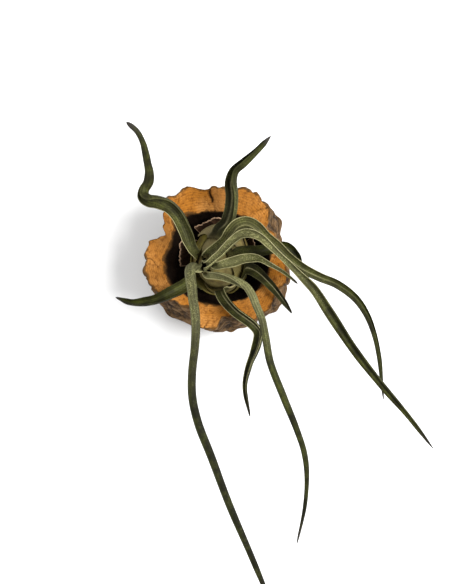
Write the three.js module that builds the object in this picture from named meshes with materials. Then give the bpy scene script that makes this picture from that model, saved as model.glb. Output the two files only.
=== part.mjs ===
// A bulb-forming air plant growing in a short tube of natural cork bark.
// Millimetres, +Z up. The tube stands on z = 0, and the origin is the middle of the
// footprint of the whole plant, long leaves included.
import * as THREE from 'three';

// Driving dimensions of the bark tube
const TUBE_X = -30;
const TUBE_Y = 61;
const TUBE_HEIGHT = 50;
const RIM_BEVEL = 1.2;
const TUBE_SIDES = 96;
const OUTER_LEVELS = 7;
const INNER_LEVELS = 9;

// The sawn top's outer edge as [angle in degrees, radius], from +X towards +Y
const RIM_OUTLINE = [
  [0, 37.4], [14, 35.8], [22, 34.4], [31, 32.2], [36, 34.8], [43, 39.4], [58, 42],
  [67, 41.2], [76, 40], [92, 40.5], [104, 40], [113, 43.8], [128, 45.4], [138, 41],
  [147, 35.8], [154, 32], [159, 35.4], [165, 40.4], [180, 41], [194, 40.7], [204, 40.4],
  [217, 35.6], [228, 32.4], [238, 31], [246, 32.4], [256, 39.2], [267, 39], [276, 32.4],
  [287, 34.5], [300, 40.2], [314, 39.6], [328, 38.8], [342, 40.8],
];
// The foot's outer edge, which spreads a little on two sides
const FOOT_OUTLINE = [
  [0, 36], [20, 34.7], [34, 38.2], [46, 43.6], [60, 43], [78, 39.5], [96, 38], [114, 40],
  [134, 40.5], [156, 34.5], [172, 37.5], [190, 39], [206, 43], [218, 43], [230, 38.8],
  [250, 35], [270, 35.5], [284, 34], [310, 34.8], [326, 37], [342, 36.5],
];
// The hollow's edge at the top
const HOLLOW_OUTLINE = [
  [0, 29], [16, 27], [38, 27.3], [58, 27.2], [80, 26.2], [94, 26.6], [110, 28], [126, 30.5],
  [137, 34], [147, 29], [162, 27.5], [180, 29.6], [204, 29.5], [226, 27], [250, 25.6],
  [270, 25.4], [290, 25.5], [308, 27.4], [326, 28.3], [344, 28.8],
];
// The hollow narrows to a round throat that holds the bulb, and opens again below it:
// [height, share of the way from the throat's radius to the top outline]
const THROAT_RADIUS = 11.8;
const THROAT_SHIFT = [2.6, 3.9];
const HOLLOW_OPENING = [[0, 0.3], [10, 0], [20, 0], [30, 0.55], [38, 0.78], [44, 0.9], [50, 1]];
// Bark relief, which runs up and down the outside:
// [ridges round the tube, depth, phase], and how far they lean with height
const BARK_RIDGES = [[9, 0.5, 0.4], [17, 0.4, 2.1], [31, 0.3, 4.4]];
const BARK_LEAN = 0.006;

// Driving dimensions of the bulb, whose axis leans forward and to the left
const BULB_FOOT = new THREE.Vector3(5, 9, 17);
const BULB_NECK = new THREE.Vector3(-4.6, -6.4, 66);
const BULB_BELLY_RADIUS = 16.8;
const BULB_BELLY_AT = 27;
const BULB_FOOT_RADIUS = 3.9;
const BULB_NECK_RADIUS = 8.6;
const BULB_NECK_AT = 51;
// Its radius front to back, as a share of that from side to side
const BULB_DEPTH = 1.25;
const SHEATH_PITCH = 1.35;
const SHEATH_THICKNESS = 0.75;

// Driving dimensions of the stem inside the bulb's foot
const STEM_RADIUS = 3.2;
const STEM_SHAFT_RADIUS = 2.8;
const STEM_TOP_RADIUS = 1.1;
const STEM_BOTTOM_RADIUS = 2.5;
const STEM_BELOW = 2.5;
const STEM_SHAFT_HEIGHT = 6.3;
const STEM_HEIGHT = 9;
const STEM_SIDES = 20;

// Driving dimensions that all leaves share
const BLADE_THICKNESS = 0.85;
const LEAST_HOLLOW = 0.25;
// Points on each side of a section, marks on a keel's sheath, length samples per mark
const ARC_POINTS = 9;
const SHEATH_MARKS = 9;
const KEEL_SAMPLES = 60;
// Sections are this close from the foot to this far past the shoulder
const SHEATH_STEP = 3.8;
const SHOULDER_REACH = 14;
const LONGEST_NEAR = 0.9;
// The sheath narrows from this share of its length to its end
const SHOULDER_AT = 0.72;
// It curls into the blade's channel over this clearance, in channel radii, or at the
// latest over this distance past the shoulder
const CURL_FROM = 0.3;
const CURL_TO = 1.6;
const FREE_AFTER = 1;
const FREE_BY = 14;
// From here on the keel line is the middle of the channel, no longer its back
const CENTRED_BY = 20;

const LEAF_GREEN = '#4c5433';
const LEAF_PALE = '#7f8560';
const SHEATH_DRY = '#8a6242';
const STEM_BROWN = '#6b5238';
const CORK_BROWN = '#b97a35';

// The leaves, from the outermost sheath to the innermost.
// shell: which layer of the bulb, 0 outermost
// azimuth, span: where the sheath sits on the bulb and half its width, in degrees
// rise: how far up the bulb the blade leaves it
// step: the distance between sections along the blade
// route: the points that the blade follows, from the tube's axis at the floor
// radius, roll, curl: the channel's radius, the turn of its open side from straight up and
// half its arc, both in degrees, each as [share of the blade's length, value]
const LEAVES = [
  {
    name: 'leaf_broad_right',
    shell: 0, azimuth: -24, span: 57, rise: 31, step: 4.5, colour: LEAF_GREEN,
    route: [
      [16.6, -6.1, 50.5], [20.2, -7.4, 54], [23.9, -10.3, 56.5], [27.7, -14.1, 57.7],
      [31.4, -18.2, 57.7], [34.8, -22.5, 56.5], [37.7, -26.5, 54], [40.4, -30.5, 50.5],
    ],
    radius: [[0, 4.4], [0.25, 3.3], [0.5, 2.5], [0.8, 1.6], [1, 0.6]],
    roll: [[0, 0], [1, 10]],
    curl: [[0, 75], [0.4, 85], [1, 115]],
  },
  {
    name: 'leaf_left',
    shell: 0, azimuth: 217, span: 52, rise: 32, step: 5, colour: LEAF_GREEN,
    route: [
      [-15, -13.5, 50.5], [-18.5, -16, 54], [-23, -18.5, 56.5], [-27.5, -20.8, 57.5],
      [-32.5, -22.7, 57], [-38.5, -23.7, 56], [-46.5, -23.7, 54], [-55.5, -20.6, 52],
    ],
    radius: [[0, 4], [0.3, 3.6], [0.65, 2.6], [0.85, 1.7], [1, 0.6]],
    roll: [[0, 0], [1, 30]],
    curl: [[0, 75], [0.3, 100], [1, 140]],
  },
  {
    name: 'leaf_folded',
    shell: 1, azimuth: 287, span: 58, rise: 33, step: 4.6, colour: LEAF_GREEN,
    route: [
      [2.5, -19, 52.8], [4.4, -22.9, 55.8], [7.7, -27.2, 57.8], [11.7, -31, 58.3],
      [16.4, -34.4, 58.3], [20.4, -37.6, 57.8], [22.6, -40.8, 55.8], [22, -45, 51.5],
      [19.8, -50.5, 46.5], [16, -58, 39], [13, -69, 31], [15, -85, 22],
    ],
    radius: [[0, 3.2], [0.1, 3], [0.3, 2.6], [0.5, 2.6], [0.65, 1.9], [0.85, 1.3], [1, 0.6]],
    roll: [[0, 20], [1, 20]],
    curl: [[0, 66], [0.2, 105], [1, 135]],
  },
  {
    name: 'leaf_upper',
    shell: 1, azimuth: 74, span: 62, rise: 39, step: 5.5, colour: LEAF_GREEN,
    route: [
      [3.4, 12.6, 61], [7.4, 16.5, 64.5], [9.4, 22.5, 67.5], [10.4, 30, 70], [10.2, 37, 73],
      [12.3, 42, 76], [17.9, 45.5, 80], [24.7, 50.5, 83], [32.4, 57.8, 85],
    ],
    radius: [[0, 4], [0.2, 3.6], [0.45, 3.4], [0.65, 2.5], [0.9, 1.6], [1, 0.6]],
    roll: [[0, -20], [1, -50]],
    curl: [[0, 78], [0.3, 115], [1, 150]],
  },
  {
    name: 'leaf_dark_right',
    shell: 2, azimuth: 13, span: 58, rise: 39, step: 5, colour: LEAF_GREEN,
    route: [
      [10.5, 0, 57.8], [14, 1.5, 60.5], [20, 2, 61.5], [25, 2, 61.5], [30, 3, 60.5],
      [33.5, 3.8, 59.5], [37.2, 4.2, 58.5], [40.6, 2.6, 57], [43.6, -0.7, 54.5],
      [46.3, -5.1, 51],
    ],
    radius: [[0, 4], [0.3, 2.8], [0.7, 2.9], [0.85, 2.3], [1, 0.6]],
    roll: [[0, 0], [1, 0]],
    curl: [[0, 58], [0.3, 85], [1, 130]],
  },
  {
    name: 'leaf_elbow',
    shell: 2, azimuth: 150, span: 58, rise: 43, step: 4.6, colour: LEAF_GREEN,
    route: [
      [-11.3, 4, 68.5], [-14.5, 12.3, 72], [-17.8, 19.2, 75], [-22.3, 23.9, 76.5],
      [-28.1, 26.2, 76.8], [-33.2, 27.4, 75.5], [-36.7, 30.5, 73.6], [-36.4, 34.3, 73.3],
      [-33.9, 37.7, 74.6], [-32.7, 41.7, 78], [-32.8, 46.1, 82], [-33, 50.4, 86.5],
      [-33.7, 55, 90.5], [-36.1, 59.9, 94], [-41.2, 64.5, 96],
    ],
    radius: [
      [0, 1.6], [0.05, 2.1], [0.11, 2.8], [0.17, 3.5], [0.3, 3.6], [0.5, 3.5], [0.62, 3.1],
      [0.75, 2.2], [0.9, 1.6], [1, 1.4],
    ],
    roll: [[0, 0], [0.35, -25], [0.5, -60], [0.7, -90], [1, -90]],
    curl: [[0, 80], [0.3, 105], [0.6, 130], [1, 150]],
  },
  {
    name: 'leaf_lower_long',
    shell: 3, azimuth: 256, span: 62, rise: 45.5, step: 7, colour: LEAF_PALE,
    route: [
      [-2, -11.9, 69.5], [1.7, -12.6, 72.2], [5.7, -13.7, 74.7], [12, -16, 77.5],
      [18.5, -20, 80], [22, -25, 81], [24, -30, 81.5], [26.5, -36, 81], [28.5, -46, 79],
      [30.5, -58, 76], [37, -76, 69], [43, -92, 61], [46.5, -104, 55], [47.5, -115, 50],
      [46, -132, 42], [41, -153, 33],
    ],
    radius: [
      [0, 1.5], [0.03, 1.7], [0.1, 2.2], [0.2, 2.5], [0.3, 2.2], [0.5, 2], [0.7, 1.6],
      [0.85, 1.15], [1, 0.6],
    ],
    roll: [[0, 0], [0.12, 50], [0.25, 110], [1, 150]],
    curl: [[0, 80], [0.04, 85], [0.2, 115], [1, 150]],
  },
  {
    name: 'leaf_right_arch',
    shell: 3, azimuth: 95, span: 62, rise: 45, step: 6.5, colour: LEAF_GREEN,
    route: [
      [-1.8, 0.2, 67.5], [2.6, 2.5, 71], [7.3, 5.8, 75], [10.6, 9.5, 78.3],
      [14.8, 12.7, 81], [19.7, 13.4, 82], [24.5, 10.9, 82], [29, 6, 80], [35, 1, 78],
      [40, -4, 76], [47.8, -9.9, 74], [56.2, -14.1, 71], [65, -17.5, 67], [74, -24, 62],
      [79.8, -32, 57], [83.9, -42.6, 51], [86.3, -54.3, 45], [87.4, -65.7, 39],
      [88.4, -76.2, 34],
    ],
    radius: [
      [0, 2], [0.05, 2.3], [0.1, 2.8], [0.17, 3.3], [0.3, 3.1], [0.42, 2.7], [0.55, 2.3],
      [0.85, 1.3], [1, 0.6],
    ],
    roll: [[0, -20], [0.4, -40], [1, -60]],
    curl: [[0, 105], [1, 150]],
  },
  {
    name: 'leaf_forward_long',
    shell: 4, azimuth: 205, span: 62, rise: 49, step: 7, colour: LEAF_PALE,
    route: [
      [-9.1, -7.8, 75.5], [-10, -10.5, 80.5], [-9.2, -15.5, 85.3], [-8, -21, 88],
      [-7.2, -27, 89.5], [-6, -34, 90], [-5.7, -42, 89.5], [-6.4, -51, 88], [-8.2, -64, 85],
      [-8.6, -76, 81], [-6.3, -89, 76], [-0.8, -106, 67], [7, -131, 54], [17, -158, 41],
      [28, -188, 28],
    ],
    radius: [
      [0, 1.7], [0.05, 2.4], [0.1, 2.8], [0.2, 2.4], [0.32, 2.1], [0.5, 2.2], [0.7, 2],
      [0.85, 1.7], [1, 1],
    ],
    roll: [[0, -90], [0.04, -120], [0.1, -155], [0.2, -170], [1, -170]],
    curl: [[0, 115], [0.03, 125], [0.09, 155], [0.15, 164], [1, 166]],
  },
  {
    name: 'leaf_right_long',
    shell: 5, azimuth: 25, span: 140, rise: 49.5, step: 7, colour: LEAF_PALE,
    route: [
      [-1.5, -6.7, 74.3], [0.6, -5.2, 75.9], [2.4, -3.8, 77], [4.6, -2.3, 78],
      [8.2, 0.8, 80.3], [12.2, 4, 82.8], [17, 6.5, 86], [22, 6.3, 89], [27.2, 3.9, 90.3],
      [31.8, -0.3, 90.3], [36.5, -4.9, 89.5], [41.9, -10.1, 88], [47.7, -15.9, 85.5],
      [53.6, -22, 82.5], [61.1, -33.4, 77], [73.4, -52, 68], [87, -69.3, 58],
      [100.7, -85.1, 47], [114.2, -102.3, 35],
    ],
    radius: [
      [0, 1.5], [0.05, 1.9], [0.14, 2.2], [0.2, 2.4], [0.26, 1.9], [0.31, 1.5], [0.36, 1.7],
      [0.43, 2.4], [0.52, 2.7], [0.63, 2.3], [0.76, 1.9], [0.9, 1.3], [1, 0.6],
    ],
    roll: [[0, 0], [1, 20]],
    curl: [[0, 150], [0.08, 130], [0.2, 108], [1, 130]],
  },
  {
    name: 'leaf_short_wavy',
    shell: 4, azimuth: 360, span: 60, rise: 46.5, step: 5, colour: LEAF_PALE,
    route: [
      [2.7, -7.1, 69.3], [6.9, -6.3, 71.3], [11.3, -5.5, 72.7], [18, -4, 74],
      [24.7, -4.2, 73.5], [29.9, -6.8, 71.5], [35.8, -9.9, 69.5], [39.9, -12.7, 67],
      [44.4, -16.5, 64],
    ],
    radius: [[0, 1.5], [0.15, 2.1], [0.3, 2.7], [0.48, 2.4], [0.62, 1.4], [0.8, 1], [1, 0.6]],
    roll: [[0, 0], [1, 10]],
    curl: [[0, 135], [0.12, 110], [0.3, 90], [1, 120]],
  },
];

// The dried sheaths, which lie outside the bulb and lean to the hollow's wall
// shell, azimuth, span: as on the leaves, -1 outside them all
// flare, bend: the radius at the top, and the power of the height that it is reached with
// lift: how much further the left side leans out
// from, to: its ends, measured up the bulb
const DRY_SHEATHS = [
  {
    name: 'dry_sheath_back',
    shell: 0, azimuth: 114, span: 30, flare: 18.6, bend: 2, lift: 2.6, from: 10, to: 24.5,
  },
  {
    name: 'dry_sheath_left',
    shell: -1, azimuth: 174, span: 18, flare: 23.4, bend: 0.7, lift: 0, from: 14, to: 29,
  },
  {
    name: 'dry_sheath_right',
    shell: -1, azimuth: 20, span: 9, flare: 20.2, bend: 2, lift: 0, from: 12, to: 20,
  },
];
const DRY_SHEATH_STEPS = 6;
const DRY_SHEATH_TAPER = 0.2;

const radians = THREE.MathUtils.degToRad;
const clamp = THREE.MathUtils.clamp;

// A value read from [place, value] marks, eased between neighbouring marks
function eased(marks, place) {
  if (place <= marks[0][0]) {
    return marks[0][1];
  }
  for (let i = 1; i < marks.length; i += 1) {
    if (place <= marks[i][0]) {
      const share = (place - marks[i - 1][0]) / (marks[i][0] - marks[i - 1][0]);
      const soft = share * share * (3 - 2 * share);
      return marks[i - 1][1] + (marks[i][1] - marks[i - 1][1]) * soft;
    }
  }
  return marks[marks.length - 1][1];
}

// A closed outline's radius at an angle in degrees, eased round the circle
function outlineRadius(outline, angle) {
  const turn = ((angle % 360) + 360) % 360;
  const closing = [360 + outline[0][0], outline[0][1]];
  return eased([...outline, closing], turn);
}

// A closed mesh from rings of points: neighbouring rings are joined by quads
function meshFromRings(rings, closing) {
  const count = rings[0].length;
  const positions = [];
  const faces = [];
  rings.forEach((ring) => ring.forEach((p) => positions.push(p.x, p.y, p.z)));
  const joined = closing === 'loop' ? rings.length : rings.length - 1;
  for (let i = 0; i < joined; i += 1) {
    const here = i * count;
    const next = ((i + 1) % rings.length) * count;
    for (let j = 0; j < count; j += 1) {
      const k = (j + 1) % count;
      faces.push(here + j, here + k, next + k);
      faces.push(here + j, next + k, next + j);
    }
  }
  if (closing === 'ends') {
    capChannel(faces, 0, count, false);
    capChannel(faces, (rings.length - 1) * count, count, true);
  }
  const geometry = new THREE.BufferGeometry();
  geometry.setAttribute('position', new THREE.Float32BufferAttribute(positions, 3));
  geometry.setIndex(faces);
  return geometry;
}

// The end of a channel, whose ring runs along the outer arc and back along the inner one
function capChannel(faces, start, count, atTip) {
  for (let j = 0; j < count / 2 - 1; j += 1) {
    const a = start + j;
    const b = start + j + 1;
    const c = start + count - 2 - j;
    const d = start + count - 1 - j;
    if (atTip) {
      faces.push(a, b, c, a, c, d);
    } else {
      faces.push(a, c, b, a, d, c);
    }
  }
}

function namedMesh(name, geometry, colour, roughness) {
  const material = new THREE.MeshStandardMaterial({ color: colour, roughness, metalness: 0 });
  const mesh = new THREE.Mesh(geometry, material);
  mesh.name = name;
  return mesh;
}

// The bark tube
function barkRelief(angle, height) {
  const turn = radians(angle) + BARK_LEAN * height;
  return BARK_RIDGES.reduce(
    (sum, [count, depth, phase]) => sum + depth * Math.sin(turn * count + phase),
    0,
  );
}

function tubeRing(height, radiusAt, shift = 0) {
  const ring = [];
  for (let j = 0; j < TUBE_SIDES; j += 1) {
    const angle = (360 * j) / TUBE_SIDES;
    const r = radiusAt(angle);
    const x = THROAT_SHIFT[0] * shift + r * Math.cos(radians(angle));
    const y = THROAT_SHIFT[1] * shift + r * Math.sin(radians(angle));
    ring.push(new THREE.Vector3(x, y, height));
  }
  return ring;
}

function outerRadius(angle, height) {
  const share = height / TUBE_HEIGHT;
  const foot = outlineRadius(FOOT_OUTLINE, angle);
  const rim = outlineRadius(RIM_OUTLINE, angle);
  return foot + (rim - foot) * share + barkRelief(angle, height);
}

function hollowRadius(angle, height) {
  const open = eased(HOLLOW_OPENING, height);
  return THROAT_RADIUS + (outlineRadius(HOLLOW_OUTLINE, angle) - THROAT_RADIUS) * open;
}

function makeTube() {
  const rings = [];
  for (let i = 0; i < OUTER_LEVELS; i += 1) {
    const height = ((TUBE_HEIGHT - RIM_BEVEL) * i) / (OUTER_LEVELS - 1);
    rings.push(tubeRing(height, (angle) => outerRadius(angle, height)));
  }
  rings.push(tubeRing(TUBE_HEIGHT, (angle) => outerRadius(angle, TUBE_HEIGHT) - RIM_BEVEL));
  for (let i = 0; i < INNER_LEVELS; i += 1) {
    const height = TUBE_HEIGHT * (1 - i / (INNER_LEVELS - 1));
    const shift = 1 - eased(HOLLOW_OPENING, height);
    rings.push(tubeRing(height, (angle) => hollowRadius(angle, height), shift));
  }
  return namedMesh('cork_tube', meshFromRings(rings, 'loop'), CORK_BROWN, 0.9);
}

// The bulb: its axis, its profile and the place of a point on one of its layers
const bulbAxis = BULB_NECK.clone().sub(BULB_FOOT).normalize();
const bulbAcross = new THREE.Vector3(1, 0, 0).addScaledVector(bulbAxis, -bulbAxis.x).normalize();
const bulbAlong = new THREE.Vector3().crossVectors(bulbAxis, bulbAcross);

function bulbRadius(up) {
  if (up < BULB_BELLY_AT) {
    const rise = Math.sin((clamp(up / BULB_BELLY_AT, 0, 1) * Math.PI) / 2);
    return BULB_FOOT_RADIUS + (BULB_BELLY_RADIUS - BULB_FOOT_RADIUS) * rise;
  }
  const share = clamp((up - BULB_BELLY_AT) / (BULB_NECK_AT - BULB_BELLY_AT), 0, 1);
  const ease = 0.5 + 0.5 * Math.cos(share * Math.PI);
  return BULB_NECK_RADIUS + (BULB_BELLY_RADIUS - BULB_NECK_RADIUS) * ease;
}

function bulbPoint(radius, azimuth, up) {
  return BULB_FOOT.clone()
    .addScaledVector(bulbAxis, up)
    .addScaledVector(bulbAcross, radius * Math.cos(radians(azimuth)))
    .addScaledVector(bulbAlong, BULB_DEPTH * radius * Math.sin(radians(azimuth)));
}

// The other way: a point's radius, azimuth and place up the bulb
function bulbPlace(point) {
  const rel = point.clone().sub(BULB_FOOT);
  const x = rel.dot(bulbAcross);
  const y = rel.dot(bulbAlong) / BULB_DEPTH;
  const azimuth = THREE.MathUtils.radToDeg(Math.atan2(y, x));
  return { radius: Math.hypot(x, y), azimuth, up: rel.dot(bulbAxis) };
}

// A layer starts where the bulb's profile, less the layers outside it, meets the stem
function layerStart(shell) {
  const wanted = BULB_FOOT_RADIUS + shell * SHEATH_PITCH;
  const share = (wanted - BULB_FOOT_RADIUS) / (BULB_BELLY_RADIUS - BULB_FOOT_RADIUS);
  return (BULB_BELLY_AT * Math.asin(share) * 2) / Math.PI;
}

// One leaf: its keel runs up a layer of the bulb, then follows the blade's route
function leafKeel(leaf) {
  const start = layerStart(leaf.shell);
  const points = [];
  for (let i = 0; i < SHEATH_MARKS; i += 1) {
    const up = start + ((leaf.rise - start) * i) / (SHEATH_MARKS - 1);
    const radius = bulbRadius(up) - leaf.shell * SHEATH_PITCH;
    points.push(bulbPoint(radius, leaf.azimuth, up));
  }
  leaf.route.forEach(([x, y, z]) => points.push(new THREE.Vector3(x, y, z)));
  const curve = new THREE.CatmullRomCurve3(points, false, 'centripetal');
  curve.arcLengthDivisions = KEEL_SAMPLES * points.length;
  const lengths = curve.getLengths();
  const sheathShare = (SHEATH_MARKS - 1) / (points.length - 1);
  const mark = Math.round(sheathShare * curve.arcLengthDivisions);
  return { curve, length: curve.getLength(), sheathLength: lengths[mark] };
}

// The blade's open side: straight up, square to the keel, then rolled about the keel
function openSide(point, tangent, roll, inBlade) {
  const upward = new THREE.Vector3(0, 0, 1).addScaledVector(tangent, -tangent.z).normalize();
  const side = new THREE.Vector3().crossVectors(tangent, upward);
  const turn = radians(roll);
  const blade = upward.multiplyScalar(Math.cos(turn)).addScaledVector(side, Math.sin(turn));
  const rel = point.clone().sub(BULB_FOOT);
  const inward = bulbAxis.clone().multiplyScalar(rel.dot(bulbAxis)).sub(rel);
  inward.addScaledVector(tangent, -inward.dot(tangent)).normalize();
  return inward.lerp(blade, inBlade).normalize();
}

// A section lies on the bulb's layer in the sheath, narrows to the blade's width at the
// shoulder, and curls into the blade's channel as the keel comes clear of the bulb
function leafRing(leaf, keel, at) {
  const share = Math.min(at / keel.length, 1);
  const point = keel.curve.getPointAt(share);
  const tangent = keel.curve.getTangentAt(share);
  const past = at - keel.sheathLength;
  const along = clamp(past / (keel.length - keel.sheathLength), 0, 1);
  const radius = eased(leaf.radius, along);
  const curl = radians(eased(leaf.curl, along));
  const place = bulbPlace(point);
  const clear = place.radius - bulbRadius(place.up) + leaf.shell * SHEATH_PITCH;
  const inBlade = past < 0 ? 0 : Math.max(
    THREE.MathUtils.smoothstep(clear, radius * CURL_FROM, radius * CURL_TO),
    THREE.MathUtils.smoothstep(past, FREE_AFTER, FREE_BY),
  );
  const centred = THREE.MathUtils.smoothstep(past, 0, CENTRED_BY) * radius;
  const normal = openSide(point, tangent, eased(leaf.roll, along), inBlade);
  const across = new THREE.Vector3().crossVectors(normal, tangent);
  const inner = Math.max(radius - BLADE_THICKNESS, LEAST_HOLLOW);
  const narrow = THREE.MathUtils.radToDeg((radius * curl) / place.radius);
  const shoulder = THREE.MathUtils.smoothstep(at / keel.sheathLength, SHOULDER_AT, 1);
  const span = leaf.span + (Math.min(narrow, leaf.span) - leaf.span) * shoulder;
  const ring = [];
  for (let j = 0; j < 2 * ARC_POINTS; j += 1) {
    const isInner = j >= ARC_POINTS;
    const step = isInner ? 2 * ARC_POINTS - 1 - j : j;
    const turn = (2 * step) / (ARC_POINTS - 1) - 1;
    const angle = turn * curl;
    const r = isInner ? inner : radius;
    const blade = point.clone()
      .addScaledVector(normal, radius - centred - r * Math.cos(angle))
      .addScaledVector(across, r * Math.sin(angle));
    const out = place.radius - (isInner ? SHEATH_THICKNESS : 0);
    const sheath = bulbPoint(out, place.azimuth + turn * span, place.up);
    ring.push(sheath.lerp(blade, inBlade));
  }
  return ring;
}

function makeLeaf(leaf) {
  const keel = leafKeel(leaf);
  const near = Math.min(keel.sheathLength + SHOULDER_REACH, keel.length * LONGEST_NEAR);
  const nearSteps = Math.round(near / SHEATH_STEP);
  const farSteps = Math.round((keel.length - near) / leaf.step);
  const rings = [];
  for (let i = 0; i < nearSteps; i += 1) {
    rings.push(leafRing(leaf, keel, (near * i) / nearSteps));
  }
  for (let i = 0; i <= farSteps; i += 1) {
    rings.push(leafRing(leaf, keel, near + ((keel.length - near) * i) / farSteps));
  }
  return namedMesh(leaf.name, meshFromRings(rings, 'ends'), leaf.colour, 0.75);
}

// A dried sheath: a strip round the bulb that leans out to the hollow's wall
function makeDrySheath(sheath) {
  const rings = [];
  for (let i = 0; i <= DRY_SHEATH_STEPS; i += 1) {
    const share = i / DRY_SHEATH_STEPS;
    const up = sheath.from + (sheath.to - sheath.from) * share;
    const close = bulbRadius(up) - sheath.shell * SHEATH_PITCH;
    const radius = close + (sheath.flare - close) * share ** sheath.bend;
    const span = sheath.span * (1 - DRY_SHEATH_TAPER * share * share);
    const ring = [];
    for (let j = 0; j < 2 * ARC_POINTS; j += 1) {
      const isInner = j >= ARC_POINTS;
      const step = isInner ? 2 * ARC_POINTS - 1 - j : j;
      const turn = (2 * step) / (ARC_POINTS - 1) - 1;
      const lean = radius + sheath.lift * (share * Math.max(turn, 0)) ** 2;
      const r = isInner ? lean - SHEATH_THICKNESS : lean;
      ring.push(bulbPoint(r, sheath.azimuth + turn * span, up));
    }
    rings.push(ring);
  }
  return namedMesh(sheath.name, meshFromRings(rings, 'ends'), SHEATH_DRY, 0.85);
}

// The stem that the sheaths grow from: a short round peg with a blunt top
function makeStem() {
  const profile = [
    new THREE.Vector2(0, -STEM_BELOW),
    new THREE.Vector2(STEM_BOTTOM_RADIUS, -STEM_BELOW),
    new THREE.Vector2(STEM_RADIUS, -STEM_BELOW / 2),
    new THREE.Vector2(STEM_SHAFT_RADIUS, 0),
    new THREE.Vector2(STEM_SHAFT_RADIUS, STEM_SHAFT_HEIGHT),
    new THREE.Vector2(STEM_TOP_RADIUS, STEM_HEIGHT),
    new THREE.Vector2(0, STEM_HEIGHT),
  ];
  const mesh = namedMesh('stem', new THREE.LatheGeometry(profile, STEM_SIDES), STEM_BROWN, 0.9);
  mesh.geometry.rotateX(Math.PI / 2);
  mesh.position.copy(BULB_FOOT);
  mesh.quaternion.setFromUnitVectors(new THREE.Vector3(0, 0, 1), bulbAxis);
  return mesh;
}

const plant = new THREE.Group();
plant.add(makeTube(), makeStem());
LEAVES.forEach((leaf) => plant.add(makeLeaf(leaf)));
DRY_SHEATHS.forEach((sheath) => plant.add(makeDrySheath(sheath)));
plant.position.set(TUBE_X, TUBE_Y, 0);

export default plant;
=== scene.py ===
"""A bulb-forming air plant in a short tube of natural cork bark, dressed for a soft studio view.

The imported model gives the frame. Each leaf, dried sheath, the stem and the bark tube are worked
out here as numpy surfaces that stand for the plain solids, with procedural materials.
"""

import logging
import math
from dataclasses import dataclass, field, fields
from enum import Enum
from typing import Sequence

import bpy
import numpy as np
from mathutils import Matrix, Vector


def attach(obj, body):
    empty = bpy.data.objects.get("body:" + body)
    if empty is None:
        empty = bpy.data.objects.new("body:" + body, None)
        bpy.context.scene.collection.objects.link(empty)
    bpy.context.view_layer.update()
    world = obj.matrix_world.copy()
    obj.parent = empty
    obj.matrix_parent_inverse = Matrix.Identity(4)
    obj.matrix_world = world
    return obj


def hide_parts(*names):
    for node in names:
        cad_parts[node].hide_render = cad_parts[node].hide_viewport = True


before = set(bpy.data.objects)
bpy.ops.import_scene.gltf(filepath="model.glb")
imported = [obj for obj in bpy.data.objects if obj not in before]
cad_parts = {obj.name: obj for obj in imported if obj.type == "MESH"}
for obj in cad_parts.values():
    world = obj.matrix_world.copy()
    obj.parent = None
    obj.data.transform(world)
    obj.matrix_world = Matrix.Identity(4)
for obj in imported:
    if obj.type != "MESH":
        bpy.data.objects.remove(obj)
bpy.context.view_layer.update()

LOG = logging.getLogger("air_plant")

Array = np.ndarray
Number = Array | float
Colour = tuple[float, float, float]
Point = tuple[float, float, float]
Span = tuple[float, float]
Marks = Sequence[Span]
Material = bpy.types.Material
Node = bpy.types.Node
Object = bpy.types.Object
Socket = bpy.types.NodeSocket
Tree = bpy.types.NodeTree

MM = 0.001
TUBE_AXIS = np.array([-30.0, 61.0, 0.0])


class Slot(Enum):
    """The material slots: one for each finish."""

    CORK = "cork_bark"
    STEM = "stem"
    LEAF_GREEN = "leaf_green"
    LEAF_PALE = "leaf_pale"
    DRY_SHEATH = "dry_sheath"


class Closing(Enum):
    """How a grid's rows are joined up into a closed surface."""

    LOOP = "the last row joins the first"
    ENDS = "the first and last rows are capped"


# Numbers and grids


def smoothstep(value: Number, low: Number, high: Number) -> Array:
    """An S-curve from 0 at low to 1 at high: 3t squared less 2t cubed.

    Args:
        value: what is measured.
        low: where the curve leaves 0.
        high: where it reaches 1.

    Returns:
        The curve's value, the same shape as value.
    """
    share = np.clip((value - low) / (high - low), 0.0, 1.0)
    return share * share * (3.0 - 2.0 * share)


def eased(marks: Marks, place: Number) -> Array:
    """Reads a value from (place, value) marks, with an S-curve between neighbouring marks.

    Args:
        marks: (place, value) pairs in rising order of place.
        place: where the value is wanted.

    Returns:
        The values, the same shape as place.
    """
    places = np.array([m[0] for m in marks], float)
    values = np.array([m[1] for m in marks], float)
    index = np.clip(np.searchsorted(places, place, side="left"), 1, len(places) - 1)
    soft = smoothstep(place, places[index - 1], places[index])
    return values[index - 1] + (values[index] - values[index - 1]) * soft


def round_outline(marks: Marks, degrees: Array) -> Array:
    """Reads a closed outline's radius from (degrees, radius) marks, round the circle."""
    closing = [*marks, (360.0 + marks[0][0], marks[0][1])]
    return eased(closing, np.mod(degrees, 360.0))


def unit(vectors: Array) -> Array:
    """Vectors along the last axis, each scaled to length 1."""
    return vectors / np.maximum(np.linalg.norm(vectors, axis=-1, keepdims=True), 1e-12)


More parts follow.
